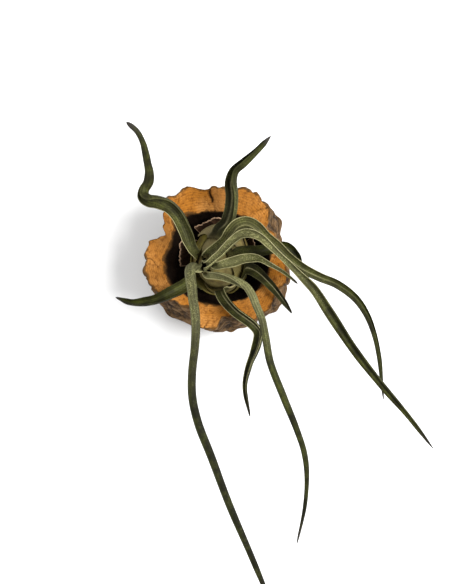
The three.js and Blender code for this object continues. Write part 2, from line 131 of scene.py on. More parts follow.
def lattice_noise(seed: int, x: Array, y: Number, cells: tuple[int, int]) -> Array:
    """Value noise that repeats every 1 in x and in y.

    Random heights stand on a lattice of cells, and a point takes the S-curve blend of the
    four lattice points round it.

    Args:
        seed: chooses the random heights.
        x: first place, one whole turn per 1.
        y: second place.
        cells: the number of lattice cells per whole turn in x and in y.

    Returns:
        Values between -1 and 1.
    """
    table = np.random.default_rng(seed).uniform(-1.0, 1.0, cells)
    across, along = x * cells[0], y * cells[1]
    column, row = np.floor(across).astype(int), np.floor(along).astype(int)
    u = smoothstep(across - column, 0.0, 1.0)
    v = smoothstep(along - row, 0.0, 1.0)
    left, right = column % cells[0], (column + 1) % cells[0]
    low, high = row % cells[1], (row + 1) % cells[1]
    near = table[left, low] * (1 - u) + table[right, low] * u
    far = table[left, high] * (1 - u) + table[right, high] * u
    return near * (1 - v) + far * v


@dataclass(frozen=True)
class Noise:
    """Value noise in layers, each twice as fine and half as strong as the one before.

    It repeats every 1 in x, and every repeat in y.
    """

    seed: int
    cells: tuple[int, int]
    layers: int = 3
    repeat: float = 1.0

    def at(self, x: Array, y: Number = 0.0) -> Array:
        """Adds up the layers.

        Args:
            x: first place, one whole turn per 1.
            y: second place.

        Returns:
            The noise, of the shape that x and y make together.
        """
        y = y / self.repeat
        total = np.zeros(np.broadcast(x, y).shape)
        for layer in range(self.layers):
            size = (self.cells[0] * 2**layer, self.cells[1] * 2**layer)
            total = total + lattice_noise(self.seed + layer, x, y, size) / 2**layer
        return total


def strip_section(back_points: int, lip_points: int, bulge: float) -> tuple[Array, Array]:
    """The points of one section through a thin strip, all the way round.

    The back runs from margin to margin at share 0, a margin follows, and the inner face
    runs back at share 1.

    Args:
        back_points: the number of points on each face.
        lip_points: the number of points on each margin.
        bulge: how far the margins stand out, as a share of half the width.

    Returns:
        The place across, -1 to 1, and the share of the wall's thickness.
    """
    back = np.linspace(-1.0, 1.0, back_points)
    lip = np.linspace(0.0, 1.0, lip_points + 2)[1:-1]
    margin = 1.0 + bulge * np.sin(lip * np.pi)
    across = np.concatenate([back, margin, back[::-1], -margin])
    wall = np.concatenate([0 * back, lip, 0 * back + 1, 1 - lip])
    return across, wall


@dataclass
class Grid:
    """A closed surface of rows of points, with values that its material reads."""

    points: Array
    closing: Closing
    values: dict[str, Number] = field(default_factory=dict)

    def faces(self) -> tuple[Array, Array]:
        """Quads between neighbouring rows, and the quads that cap a channel's two ends.

        A point's number is its row times the row's length plus its column. Columns wrap
        round. An end's cap joins column j to column last - j, from one margin to the other.

        Returns:
            The quads as one array of four corner numbers each, and the same for the caps.
        """
        rows, columns = self.points.shape[:2]
        joined = rows if self.closing is Closing.LOOP else rows - 1
        i, j = np.meshgrid(np.arange(joined), np.arange(columns), indexing="ij")
        here, there = i * columns, ((i + 1) % rows) * columns
        nearby = (j + 1) % columns
        sides = np.stack([here + j, here + nearby, there + nearby, there + j], -1)
        caps = np.zeros((0, 4), int)
        if self.closing is Closing.ENDS:
            k = np.arange(columns // 2 - 1)
            foot = np.stack([k, columns - 1 - k, columns - 2 - k, k + 1], -1)
            tip = foot[:, ::-1] + (rows - 1) * columns
            caps = np.concatenate([foot, tip])
        return sides.reshape(-1, 4), caps

    def make(self, name: str, material: Material) -> Object:
        """Puts the grid into a mesh object, in metres in the model's frame.

        Args:
            name: the piece's name.
            material: its finish.

        Returns:
            The new object, at the origin, with smooth shading.
        """
        sides, caps = self.faces()
        corners = np.concatenate([sides, caps])
        places = (self.points.reshape(-1, 3) + TUBE_AXIS) * MM
        mesh = bpy.data.meshes.new(name)
        mesh.from_pydata(places.tolist(), [], corners.tolist())
        mesh.polygons.foreach_set("use_smooth", np.ones(len(corners), bool))
        for label, value in self.values.items():
            spread = np.broadcast_to(value, self.points.shape[:2]).ravel()
            layer = mesh.attributes.new(label, "FLOAT", "POINT")
            layer.data.foreach_set("value", spread.astype(np.float32))
        mesh.materials.append(material)
        mesh.update()
        piece = bpy.data.objects.new(name, mesh)
        bpy.context.scene.collection.objects.link(piece)
        return piece


def seat(piece: Object, node: str, slot: Slot) -> None:
    """Puts a piece in a CAD node's place: it rides on the root body, and its slot is logged."""
    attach(piece, "root")
    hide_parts(node)
    LOG.info("%s: %d faces, slot %s", piece.name, len(piece.data.polygons), slot.value)


# Shader wiring


@dataclass(frozen=True)
class Cloud:
    """Cloudy noise, spread out between two of its values.

    Scale is in features per metre. The noise is about 0.5 on average, and what it gives
    runs from ends[0] where it is at or below span[0] to ends[1] from span[1] on.
    """

    scale: float
    detail: float
    span: Span
    ends: Span = (0.0, 1.0)
    rough: float = 0.55


@dataclass(frozen=True)
class Strokes:
    """Fine lines along a piece: how close, how strong, and how far they wander."""

    count: float
    strength: float
    wander: float = 2.0


class Wiring:
    """Adds nodes to one shader tree and joins their sockets."""

    def __init__(self, tree: Tree) -> None:
        """Keeps the tree."""
        self.tree = tree

    def add(
        self, kind: str, inputs: dict[str | int, object] | None = None, **settings: object
    ) -> Node:
        """Adds a node.

        Args:
            kind: the node type, without the ShaderNode prefix.
            inputs: for each input's name or number, a plain value or a socket to join.
            **settings: the node's own properties.

        Returns:
            The new node.
        """
        node = self.tree.nodes.new(kind if kind.startswith("Node") else "ShaderNode" + kind)
        for key, value in settings.items():
            setattr(node, key, value)
        for key, value in (inputs or {}).items():
            self.feed(node.inputs[key], value)
        return node

    def feed(self, socket: Socket, value: object) -> None:
        """Joins a socket to another one, or sets its plain value.

        Args:
            socket: the input to fill.
            value: another node's socket, a number or a colour.
        """
        if isinstance(value, Socket):
            self.tree.links.new(value, socket)
        elif isinstance(value, tuple) and len(value) == 3 and socket.type == "RGBA":
            socket.default_value = (*value, 1.0)
        else:
            socket.default_value = value

    def attribute(self, label: str) -> Socket:
        """The value that a piece's points carry under a label."""
        return self.add("Attribute", attribute_name=label).outputs["Fac"]

    def noise(self, vector: Socket, scale: object, detail: float, rough: float = 0.55) -> Socket:
        """Cloudy noise, about 0.5 on average; scale is in features per metre."""
        values = {"Vector": vector, "Scale": scale, "Detail": detail, "Roughness": rough}
        return self.add("TexNoise", values).outputs["Fac"]

    def ramp(self, value: object, span: Span, ends: tuple[object, object] = (0.0, 1.0)) -> Socket:
        """A value carried smoothly from one end to the other over a span, and held beyond."""
        inputs = {0: value, 1: span[0], 2: span[1], 3: ends[0], 4: ends[1]}
        return self.add("MapRange", inputs, interpolation_type="SMOOTHSTEP").outputs[0]

    def maths(self, operation: str, first: object, second: object = 0.0) -> Socket:
        """One arithmetic step."""
        return self.add("Math", {0: first, 1: second}, operation=operation).outputs[0]

    def blend(self, share: object, first: object, second: object) -> Socket:
        """A colour between two colours: the first at share 0, the second at share 1."""
        return self.add("Mix", {0: share, 6: first, 7: second}, data_type="RGBA").outputs[2]

    def group(self, group: Tree, inputs: dict[str | int, object]) -> Node:
        """Places a node group with its own values."""
        return self.add("Group", inputs, node_tree=group)


def new_group(
    name: str, inputs: dict[str, float], outputs: Sequence[str]
) -> tuple[Tree, Wiring, bpy.types.NodeOutputs, bpy.types.NodeInputs]:
    """Starts a shader node group that takes a Vector and numbers, and gives numbers.

    Args:
        name: the group's name.
        inputs: the default of each number that it takes besides the Vector.
        outputs: the names of the numbers that it gives.

    Returns:
        The group, its wiring, the sockets that bring values in and those that take them out.
    """
    tree = bpy.data.node_groups.new(name, "ShaderNodeTree")
    tree.interface.new_socket("Vector", in_out="INPUT", socket_type="NodeSocketVector")
    for label, default in inputs.items():
        socket = tree.interface.new_socket(label, in_out="INPUT", socket_type="NodeSocketFloat")
        socket.default_value = default
    for label in outputs:
        tree.interface.new_socket(label, in_out="OUTPUT", socket_type="NodeSocketFloat")
    wiring = Wiring(tree)
    source, sink = wiring.add("NodeGroupInput"), wiring.add("NodeGroupOutput")
    return tree, wiring, source.outputs, sink.inputs


def speckle_group() -> Tree:
    """Fine pale scales: small cells, thinned by a cloud so that they lie in drifts.

    Returns:
        A group with a Vector, a Scale, a Cover and a Cloud Scale in, and a Mask out.
    """
    defaults = {"Scale": 1500.0, "Cover": 0.5, "Cloud Scale": 120.0}
    tree, w, at, sink = new_group("pale_scales", defaults, ["Mask"])
    cells = w.add("TexVoronoi", {"Vector": at["Vector"], "Scale": at["Scale"]})
    dots = w.ramp(cells.outputs["Distance"], (0.2, 0.55), (1.0, 0.0))
    drift = w.ramp(w.noise(at["Vector"], at["Cloud Scale"], 2.0, 0.5), (0.3, 0.7))
    mask = w.maths("MULTIPLY", w.maths("MULTIPLY", dots, drift), at["Cover"])
    w.feed(sink["Mask"], mask)
    return tree


def line_group() -> Tree:
    """Fine lines that run with a piece's length: a sine of the place across it, wandering.

    Returns:
        A group with Vector, Across, Count and Wander in, and Lines out, from 0 to 1.
    """
    defaults = {"Across": 0.0, "Count": 30.0, "Wander": 2.0}
    tree, w, at, sink = new_group("long_lines", defaults, ["Lines"])
    drift = w.maths("MULTIPLY", w.noise(at["Vector"], 60.0, 2.0), at["Wander"])
    phase = w.maths("ADD", w.maths("MULTIPLY", at["Across"], at["Count"]), drift)
    w.feed(sink["Lines"], w.ramp(w.maths("SINE", phase), (-1.0, 1.0)))
    return tree


def grain_group() -> Tree:
    """Coarse grain and pits: cloudy noise, and dots at the middles of small cells.

    Returns:
        A group with Vector and Scale in, and Grain and Pits out, both from 0 to 1.
    """
    tree, w, at, sink = new_group("grain_and_pits", {"Scale": 300.0}, ["Grain", "Pits"])
    cloud = w.noise(at["Vector"], at["Scale"], 5.0, 0.7)
    w.feed(sink["Grain"], w.ramp(cloud, (0.3, 0.7)))
    cells = w.add("TexVoronoi", {"Vector": at["Vector"], "Scale": at["Scale"]})
    w.feed(sink["Pits"], w.ramp(cells.outputs["Distance"], (0.0, 0.28), (1.0, 0.0)))
    return tree


@dataclass
class Effects:
    """The node groups that the finishes share, built once."""

    scales: Tree = field(default_factory=speckle_group)
    lines: Tree = field(default_factory=line_group)
    grain: Tree = field(default_factory=grain_group)


class Painter(Wiring):
    """Wiring for a finish, with the shared node groups and object coordinates at hand."""

    def __init__(self, tree: Tree, effects: Effects) -> None:
        """Keeps the groups and finds the coordinates."""
        super().__init__(tree)
        self.effects = effects
        self.place = self.add("TexCoord").outputs["Object"]

    def cloud(self, cloud: Cloud) -> Socket:
        """Cloudy noise, spread out as the cloud says."""
        noise = self.noise(self.place, cloud.scale, cloud.detail, cloud.rough)
        return self.ramp(noise, cloud.span, cloud.ends)

    def stroke(self, strokes: Strokes, across: Socket) -> Socket:
        """Fine lines, from 0 to 1, that lie side by side across a piece."""
        values = {"Across": across, "Count": strokes.count, "Wander": strokes.wander}
        return self.group(self.effects.lines, {"Vector": self.place, **values}).outputs[0]

    def tint(self, body: Socket, colour: Colour, mask: Socket, amount: float) -> Socket:
        """A colour moved towards another by a mask times an amount."""
        return self.blend(self.maths("MULTIPLY", mask, amount), body, colour)


def new_material(name: str) -> tuple[Material, Node]:
    """A material with only a Principled BSDF joined to its output.

    Args:
        name: the material's name.

    Returns:
        The material and its Principled BSDF.
    """
    material = bpy.data.materials.new(name)
    material.use_nodes = True
    material.node_tree.nodes.clear()
    wiring = Wiring(material.node_tree)
    shader = wiring.add("BsdfPrincipled")
    wiring.add("OutputMaterial", {"Surface": shader.outputs[0]})
    return material, shader


# The finishes


@dataclass(frozen=True)
class Coat:
    """What a finish feeds its shader: a colour, a roughness and a bump height."""

    colour: Socket
    roughness: Socket | float
    height: Socket


@dataclass(frozen=True, kw_only=True)
class Finish:
    """What all finishes share: a name, a shine, and a bump's strength and depth in metres."""

    name: str
    specular: float
    bump_strength: float
    bump_depth: float

    def coat(self, w: Painter) -> Coat:
        """What the shader is fed; each kind of finish mixes its own."""
        raise NotImplementedError

    def build(self, effects: Effects) -> Material:
        """Builds the material.

        Args:
            effects: the shared node groups.

        Returns:
            The material.
        """
        material, shader = new_material(self.name)
        w = Painter(material.node_tree, effects)
        coat = self.coat(w)
        relief = {"Strength": self.bump_strength, "Distance": self.bump_depth}
        bump = w.add("Bump", {"Height": coat.height, **relief})
        w.feed(shader.inputs["Base Color"], coat.colour)
        w.feed(shader.inputs["Roughness"], coat.roughness)
        w.feed(shader.inputs["Normal"], bump.outputs[0])
        shader.inputs["Specular IOR Level"].default_value = self.specular
        return material


@dataclass(frozen=True, kw_only=True)
class LeafFinish(Finish):
    """Leaf skin: olive green under pale scales, thin cream margins and a pale sheath.

    Pieces carry: across, -1 to 1 from margin to margin; along, 0 to 1 over the blade;
    past, millimetres past the shoulder; pale, how thick the scales lie; margin, how clear
    the cream margin is; stripe, how clear the pale stripe is; tone, from dark to fresh
    green; hue, from an olive sheath to a grey-beige one. On one side of some blades, pale
    and tone are lowered by painted shade.
    """

    dark: Colour = (0.005, 0.005, 0.0012)
    green: Colour = (0.05, 0.058, 0.006)
    scale_colour: Colour = (0.215, 0.205, 0.08)
    edge: Colour = (0.36, 0.33, 0.17)
    sheath_olive: Colour = (0.1, 0.082, 0.012)
    sheath_yellow: Colour = (0.24, 0.185, 0.05)
    sheath_grey: Colour = (0.215, 0.18, 0.088)
    sheath_stain: Colour = (0.045, 0.028, 0.016)
    tip: Colour = (0.025, 0.022, 0.018)
    specular: float = 0.09
    bump_strength: float = 0.35
    bump_depth: float = 0.0002
    mottle: Cloud = Cloud(160.0, 4.0, (0.35, 0.68), (-0.3, 0.3))
    bands: Strokes = Strokes(7.0, 0.5)
    lines: Strokes = Strokes(22.0, 0.45)
    line_height: float = 0.5
    veil: Span = (0.55, 0.3)
    scales_per_metre: float = 1300.0
    drifts_per_metre: float = 160.0
    full_cover_from: float = 0.7
    least_cover: float = 0.08
    cover: float = 0.8
    roughness: Span = (0.6, 0.85)
    margin_at: Span = (0.93, 0.965)
    margin_wear: float = 0.08
    wear_per_metre: float = 420.0
    fray: Cloud = Cloud(900.0, 2.0, (0.3, 0.6), (0.55, 1.0))
    shoulder_over: Span = (-8.0, 6.0)
    tip_over: Span = (0.9, 0.99)
    yellowing: Cloud = Cloud(60.0, 3.0, (0.4, 0.65), (0.0, 0.7))
    staining: Cloud = Cloud(95.0, 3.0, (0.46, 0.68), (0.0, 0.75))
    sheath_lines: Strokes = Strokes(46.0, 0.22)

    def coat(self, w: Painter) -> Coat:
        """The blade's colours in layers, then the sheath below it and the dry tip.

        Args:
            w: the material's painter.

        Returns:
            What the shader is fed.
        """
        labels = ("across", "along", "past", "pale", "margin", "stripe", "tone", "hue")
        across, along, past, pale, margin, stripe, tone, hue = map(w.attribute, labels)
        body = w.blend(w.maths("ADD", tone, w.cloud(self.mottle)), self.dark, self.green)
        bands = w.stroke(self.bands, across)
        body = w.tint(body, self.dark, bands, self.bands.strength)
        lines = w.stroke(self.lines, across)
        body = w.tint(body, self.dark, lines, self.lines.strength)
        veil = w.maths("MULTIPLY", pale, w.ramp(lines, (0.0, 1.0), self.veil))
        body = w.blend(veil, body, self.scale_colour)

        cover = w.ramp(pale, (0.0, self.full_cover_from), (self.least_cover, self.cover))
        sizes = {"Scale": self.scales_per_metre, "Cloud Scale": self.drifts_per_metre}
        scales = w.group(w.effects.scales, {"Vector": w.place, "Cover": cover, **sizes}).outputs[0]
        body = w.blend(scales, body, self.scale_colour)

        wear = w.maths("MULTIPLY", w.noise(w.place, self.wear_per_metre, 2.0), self.margin_wear)
        rim = w.ramp(w.maths("SUBTRACT", w.maths("ABSOLUTE", across), wear), self.margin_at)
        rim = w.maths("MAXIMUM", w.maths("MULTIPLY", rim, margin), stripe)
        rim = w.maths("MULTIPLY", rim, w.cloud(self.fray))
        body = w.blend(rim, body, self.edge)

        body = w.blend(w.ramp(past, self.shoulder_over), self.sheath(w, across, hue), body)
        body = w.blend(w.ramp(along, self.tip_over), body, self.tip)
        height = w.maths("ADD", w.maths("MULTIPLY", lines, self.line_height), scales)
        return Coat(body, w.ramp(scales, (0.0, 0.6), self.roughness), height)

    def sheath(self, w: Painter, across: Socket, hue: Socket) -> Socket:
        """The sheath's colour: olive to grey-beige, clouded with yellow, finely lined.

        Args:
            w: the material's painter.
            across: the place from margin to margin.
            hue: 0 for an olive sheath, 1 for a grey-beige one.

        Returns:
            The colour.
        """
        ground = w.blend(hue, self.sheath_olive, self.sheath_grey)
        ground = w.blend(w.cloud(self.yellowing), ground, self.sheath_yellow)
        ground = w.blend(w.cloud(self.staining), ground, self.sheath_stain)
        fine = w.stroke(self.sheath_lines, across)
        return w.tint(ground, self.sheath_olive, fine, self.sheath_lines.strength)


@dataclass(frozen=True, kw_only=True)
class CorkFinish(Finish):
    """Cork bark: orange sawn face, grey-brown fissured outside, dark hollow deepened by painted
    shade.

    Pieces carry: face, 1 on the sawn face; hollow, 1 in the hollow's depth, painted
    near-black as shade over dark inner bark; ring, the place from the hollow's edge to the
    bark's edge; crack, 1 in a crack, painted dark as shade; dull, 1 where the face is brown;
    deep, 1 in the floor of a fissure, painted dark as shade over the darker bark there.
    """

    fresh: Colour = (0.31, 0.115, 0.013)
    fresh_light: Colour = (0.46, 0.2, 0.045)
    fresh_dark: Colour = (0.12, 0.038, 0.006)
    dull: Colour = (0.17, 0.075, 0.02)
    bark: Colour = (0.055, 0.027, 0.008)
    bark_light: Colour = (0.17, 0.098, 0.042)
    # Near-black: painted shade in the cracks, the fissure floors and the hollow.
    bark_dark: Colour = (0.009, 0.005, 0.002)
    # The hollow's depth: dark inner bark, deepened to near-black by painted shade.
    hollow: Colour = (0.006, 0.0025, 0.001)
    specular: float = 0.08
    bump_strength: float = 0.6
    bump_depth: float = 0.0006
    grains_per_metre: float = 420.0
    roughness: Span = (0.95, 0.75)
    blotches: Cloud = Cloud(70.0, 3.0, (0.36, 0.66))
    growth_lines: Strokes = Strokes(60.0, 0.3, 9.0)
    dark_grain: Span = (0.55, 0.0)
    grain_strength: float = 0.75
    pit_strength: float = 0.35
    dull_strength: float = 0.75
    worn_edge: Cloud = Cloud(260.0, 3.0, (0.3, 0.7), (-0.07, 0.07))
    outer_border: Span = (0.9, 1.0)
    inner_border: Span = (0.07, 0.0)
    border_strength: float = 0.8
    flecks: Cloud = Cloud(150.0, 5.0, (0.38, 0.66), rough=0.7)
    # A cloud that varies the painted shade in the hollow.
    painted_shade: Cloud = Cloud(220.0, 4.0, (0.4, 0.7), (0.0, 0.5))

    def coat(self, w: Painter) -> Coat:
        """The sawn face, the bark side and the hollow, each where its value says.

        Args:
            w: the material's painter.

        Returns:
            What the shader is fed.
        """
        labels = ("face", "hollow", "ring", "crack", "dull", "deep")
        face, hollow, ring, crack, dull, deep = map(w.attribute, labels)
        texture = w.group(w.effects.grain, {"Vector": w.place, "Scale": self.grains_per_metre})
        grain, pits = texture.outputs["Grain"], texture.outputs["Pits"]
        lines = w.stroke(self.growth_lines, ring)

        sawn = w.blend(w.cloud(self.blotches), self.fresh, self.fresh_light)
        sawn = w.tint(sawn, self.fresh_dark, lines, self.growth_lines.strength)
        dark = w.ramp(grain, self.dark_grain, (0.0, self.grain_strength))
        sawn = w.blend(dark, sawn, self.fresh_dark)
        sawn = w.tint(sawn, self.fresh_dark, pits, self.pit_strength)
        sawn = w.tint(sawn, self.dull, dull, self.dull_strength)
        worn = w.maths("ADD", ring, w.cloud(self.worn_edge))
        outer, inner = w.ramp(worn, self.outer_border), w.ramp(worn, self.inner_border)
        sawn = w.tint(sawn, self.bark, w.maths("MAXIMUM", outer, inner), self.border_strength)

        outside = w.blend(w.cloud(self.flecks), self.bark, self.bark_light)
        # Painted shade: the fissure floors turn near-black.
        outside = w.blend(deep, outside, self.bark_dark)
        # Painted shade: the hollow's depth is near-black, mottled by a cloud.
        inside = w.blend(w.cloud(self.painted_shade), self.hollow, self.bark_dark)
        body = w.blend(hollow, w.blend(face, outside, sawn), inside)
        # Painted shade: the cracks turn near-black.
        body = w.blend(crack, body, self.bark_dark)
        roughness = w.ramp(grain, (0.0, 1.0), self.roughness)
        return Coat(body, roughness, w.maths("SUBTRACT", grain, pits))


@dataclass(frozen=True, kw_only=True)
class PaperyFinish(Finish):
    """Dried sheath or stem: a brown skin with lengthwise lines and pale torn edges.

    Pieces carry: across, the place from edge to edge; rim, 1 on a torn edge; gloom, how
    deep the painted shade on the skin lies.
    """

    dark: Colour
    light: Colour
    edge: Colour
    # The near-black of the painted shade.
    shade_colour: Colour = (0.012, 0.005, 0.002)
    specular: float = 0.1
    bump_strength: float = 0.5
    bump_depth: float = 0.0003
    roughness: float = 0.8
    mottle: Cloud = Cloud(130.0, 4.0, (0.35, 0.68))
    lines: Strokes = Strokes(34.0, 0.4, 3.0)
    edge_strength: float = 0.8

    def coat(self, w: Painter) -> Coat:
        """The mottled brown skin, lined, darkened by painted shade and pale at its torn edges.

        Args:
            w: the material's painter.

        Returns:
            What the shader is fed.
        """
        across, rim, painted_shade = map(w.attribute, ("across", "rim", "painted_shade"))
        lines = w.stroke(self.lines, across)
        body = w.blend(w.cloud(self.mottle), self.dark, self.light)
        body = w.tint(body, self.dark, lines, self.lines.strength)
        # Painted shade: the skin turns towards near-black as far as gloom says.
        body = w.blend(painted_shade, body, self.shade_colour)
        body = w.tint(body, self.edge, rim, self.edge_strength)
        return Coat(body, self.roughness, lines)


LEAF_GREEN = LeafFinish(name="leaf_green")
LEAF_PALE = LeafFinish(name="leaf_pale", scale_colour=(0.27, 0.26, 0.115), cover=0.95)
CORK = CorkFinish(name="cork_bark")
PAPERY = PaperyFinish(
    name="dried_sheath", dark=(0.03, 0.014, 0.007), light=(0.11, 0.055, 0.028),
    edge=(0.5, 0.33, 0.21),
)
WOODY = PaperyFinish(
    name="woody_stem", dark=(0.06, 0.035, 0.02), light=(0.14, 0.09, 0.05), edge=(0.2, 0.14, 0.08)
)


# The bark tube


@dataclass
class Band:
    """Some of the bark tube's rows, and what the cork finish reads there."""

    points: Array
    face: Number = 0.0
    hollow: Number = 0.0
    ring: Number = 0.0
    crack: Number = 0.0
    dull: Number = 0.0
    deep: Number = 0.0

    def reading(self, label: str) -> Array:
        """One value for each of its points."""
        return np.broadcast_to(getattr(self, label), self.points.shape[:2])


@dataclass(frozen=True)
class Crack:
    """A crack in the sawn face.

    Middle and width are in degrees. Start and end are places across the rim, 0 at the
    hollow's edge and 1 at the bark's.
    """

    middle: float
    width: float
    start: float
    end: float
    strength: float
    fade: float = 0.15
    wander: float = 1.6
    waves: float = 7.0
    slant: float = 3.0
    straight_at: float = 0.6

    def depth(self, degrees: Array, outward: Array) -> Array:
        """A narrow bell curve round an angle that wanders across the rim, faded at both ends.

        Args:
            degrees: the angle round the tube.
            outward: the place across the rim.

        Returns:
            How deep the crack is, 0 to its strength.
        """
        wander = self.wander * np.sin(outward * self.waves + self.middle)
        wander = wander - self.slant * (outward - self.straight_at)
        bell = np.exp(-(((degrees - self.middle - wander) / self.width) ** 2))
        first = smoothstep(outward, self.start, self.start + self.fade)
        last = smoothstep(-outward, -self.end, -self.end + self.fade)
        return bell * (first * last) * self.strength


@dataclass
class BarkTube:
    """The short tube of cork bark: fissured outside, sawn rim, and a narrowing hollow.

    Lengths are in millimetres.
    """

    height: float = 50.0
    sides: int = 512
    throat_radius: float = 11.8
    throat_shift: tuple[float, float] = (2.6, 3.9)
    rim: Marks = (
        (0, 37.4), (14, 35.8), (22, 34.4), (31, 32.2), (36, 34.8), (43, 39.4), (58, 42),
        (67, 41.2), (76, 40), (92, 40.5), (104, 40), (113, 43.8), (128, 45.4), (138, 41),
        (147, 35.8), (154, 32), (159, 35.4), (165, 40.4), (180, 41), (194, 40.7),
        (204, 40.4), (217, 35.6), (228, 32.4), (238, 31), (246, 32.4), (256, 39.2),
        (267, 39), (276, 32.4), (287, 34.5), (300, 40.2), (314, 39.6), (328, 38.8),
        (342, 40.8),
    )
    foot: Marks = (
        (0, 36), (20, 34.7), (34, 38.2), (46, 43.6), (60, 43), (78, 39.5), (96, 38),
        (114, 40), (134, 40.5), (156, 34.5), (172, 37.5), (190, 39), (206, 43), (218, 43),
        (230, 38.8), (250, 35), (270, 35.5), (284, 34), (310, 34.8), (326, 37), (342, 36.5),
    )
    hollow: Marks = (
        (0, 29), (16, 27), (38, 27.3), (58, 27.2), (80, 26.2), (94, 26.6), (110, 28),
        (126, 30.5), (137, 34), (147, 29), (162, 27.5), (180, 29.6), (204, 29.5),
        (226, 27), (250, 25.6), (270, 25.4), (290, 25.5), (308, 27.4), (326, 28.3),
        (344, 28.8),
    )
    opening: Marks = ((0, 0.3), (10, 0), (20, 0), (30, 0.55), (38, 0.78), (44, 0.9), (50, 1))
    ridges: tuple[Point, ...] = ((9, 0.5, 0.4), (17, 0.4, 2.1), (31, 0.3, 4.4))
    ridge_lean: float = 0.006
    wall_rows: int = 64
    bevel_rows: int = 5
    face_rows: int = 34
    hollow_rows: int = 48
    foot_rows: int = 6
    cracks: tuple[Crack, ...] = (
        Crack(96.0, 1.1, 0.3, 1.05, 1.0), Crack(181.0, 0.45, 0.45, 1.1, 0.5),
        Crack(186.0, 0.4, -0.1, 0.45, 0.4), Crack(124.0, 0.4, 0.5, 1.1, 0.35),
        Crack(48.0, 0.5, 0.4, 1.1, 0.4), Crack(262.0, 0.5, 0.55, 1.1, 0.4),
        Crack(334.0, 0.5, -0.1, 0.5, 0.4),
    )
    crack_depth: float = 1.8
    bevel: float = 1.1
    bevel_change: float = 0.7
    least_bevel: float = 0.5
    edge_wear: float = 0.5
    fissure_depth: float = 1.5
    fissure_lean: float = 0.02
    fissure_gain: float = 1.6
    fissure_power: float = 2.2
    lump_height: float = 0.55
    foot_fade: Span = (0.0, 2.5)
    face_drop: float = 0.2
    saw_height: float = 0.16
    inner_drop: float = 0.3
    inner_drop_over: Span = (0.86, 1.0)
    hollow_drop: float = 1.2
    hollow_rough: float = 0.5
    rough_over: Span = (27.0, 34.0)
    # How far below the rim, in mm, the hollow's wall turns to its painted near-black shade.
    dark_below: Span = (0.6, 3.5)
    dull_sector: tuple[Span, Span] = ((78.0, 84.0), (-95.0, -93.0))
    sector_dullness: float = 0.8
    patch_dullness: float = 0.35
    patch_over: Span = (0.2, 0.9)
    fissure_noise: Noise = Noise(11, (34, 8), repeat=150.0)
    lump_noise: Noise = Noise(23, (22, 7), repeat=120.0)
    hollow_noise: Noise = Noise(47, (46, 11), repeat=90.0)
    bevel_noise: Noise = Noise(5, (26, 1), 2)
    edge_noise: Noise = Noise(8, (40, 1), 2)
    saw_noise: Noise = Noise(31, (150, 7), 2)
    dull_noise: Noise = Noise(61, (12, 1), 2)

    def __post_init__(self) -> None:
        """Works out each column's angle, in degrees and in whole turns."""
        self.degrees = np.arange(self.sides) * 360.0 / self.sides
        self.turn = self.degrees / 360.0

    def wall_radius(self, height: Number) -> Array:
        """The plain outside: the foot's outline carried to the rim's, with soft ridges.

        Args:
            height: the height above the foot.

        Returns:
            The distance from the axis.
        """
        foot = round_outline(self.foot, self.degrees)
        rim = round_outline(self.rim, self.degrees)
        turn = np.radians(self.degrees) + self.ridge_lean * height
        relief = sum(depth * np.sin(turn * n + phase) for n, depth, phase in self.ridges)
        return foot + (rim - foot) * height / self.height + relief

    def hollow_radius(self, height: Number) -> Array:
        """The hollow: the throat's circle opened towards the top outline."""
        wide = round_outline(self.hollow, self.degrees)
        return self.throat_radius + (wide - self.throat_radius) * eased(self.opening, height)

    def fissures(self, height: Array) -> Array:
        """How deep the bark's fissures are.

        Ridged noise: one less the absolute value of layered noise, raised to a power, on
        cells about three times as tall as wide.

        Args:
            height: the height above the foot.

        Returns:
            0 on the bark's surface, to 1 in a fissure's floor.
        """
        turn = self.turn + self.fissure_lean * height / self.height
        cloud = np.abs(self.fissure_noise.at(turn, height))
        return np.clip(1.0 - self.fissure_gain * cloud, 0.0, 1.0) ** self.fissure_power

    def build(self, material: Material) -> Object:
        """Carries the tube's profile round its axis.

        The profile climbs the outside, crosses the rim inwards, goes down the hollow and
        back out under the foot, which is flat.

        Args:
            material: the cork finish.

        Returns:
            The bark tube.
        """
        bevel = self.bevel + self.bevel_change * self.bevel_noise.at(self.turn)
        bevel = np.maximum(bevel, self.least_bevel)
        rim_out = self.wall_radius(self.height) - bevel
        rim_in = self.hollow_radius(self.height)
        rim_in = rim_in + self.edge_wear * self.edge_noise.at(self.turn)
        outer, wall = self.outside(bevel)
        inner, inside = self.inside()
        bands = [
            wall,
            self.edge(bevel, outer[-1], rim_out),
            self.sawn_face(rim_out, rim_in),
            inside,
            self.sole(inner[-1], outer[0]),
        ]
        labels = [item.name for item in fields(Band) if item.name != "points"]
        values = {label: np.concatenate([b.reading(label) for b in bands]) for label in labels}
        points = np.concatenate([band.points for band in bands])
        return Grid(points, Closing.LOOP, values).make("bark_tube", material)

    def outside(self, bevel: Array) -> tuple[Array, Band]:
        """The bark side, with lumps and fissures that fade out at the foot.

        Args:
            bevel: how far under the top the bark side ends.

        Returns:
            The distance of each point from the axis, and the rows.
        """
        height = np.linspace(0.0, 1.0, self.wall_rows)[:, None] * (self.height - bevel)
        fissure = self.fissures(height)
        lumps = self.lump_height * self.lump_noise.at(self.turn, height)
        fade = smoothstep(height, *self.foot_fade)
        radius = self.wall_radius(height) + fade * (lumps - self.fissure_depth * fissure)
        # Deep marks the fissure floors, which the finish paints dark as shade.
        return radius, Band(self.ring(radius, height), ring=1.0, deep=fissure * fade)

    def edge(self, bevel: Array, outer: Array, rim_out: Array) -> Band:
        """The rounded edge between the bark side and the sawn face: a quarter sine.

        Args:
            bevel: the edge's height.
            outer: the bark side's distance from the axis at its top.
            rim_out: the sawn face's outer distance from the axis.

        Returns:
            The rows.
        """
        share = self.between(self.bevel_rows)
        height = (self.height - bevel) + bevel * np.sin(share * np.pi / 2)
        points = self.ring(outer + (rim_out - outer) * share, height)
        return Band(points, face=0.35, ring=1.0, dull=0.3, deep=0.1)

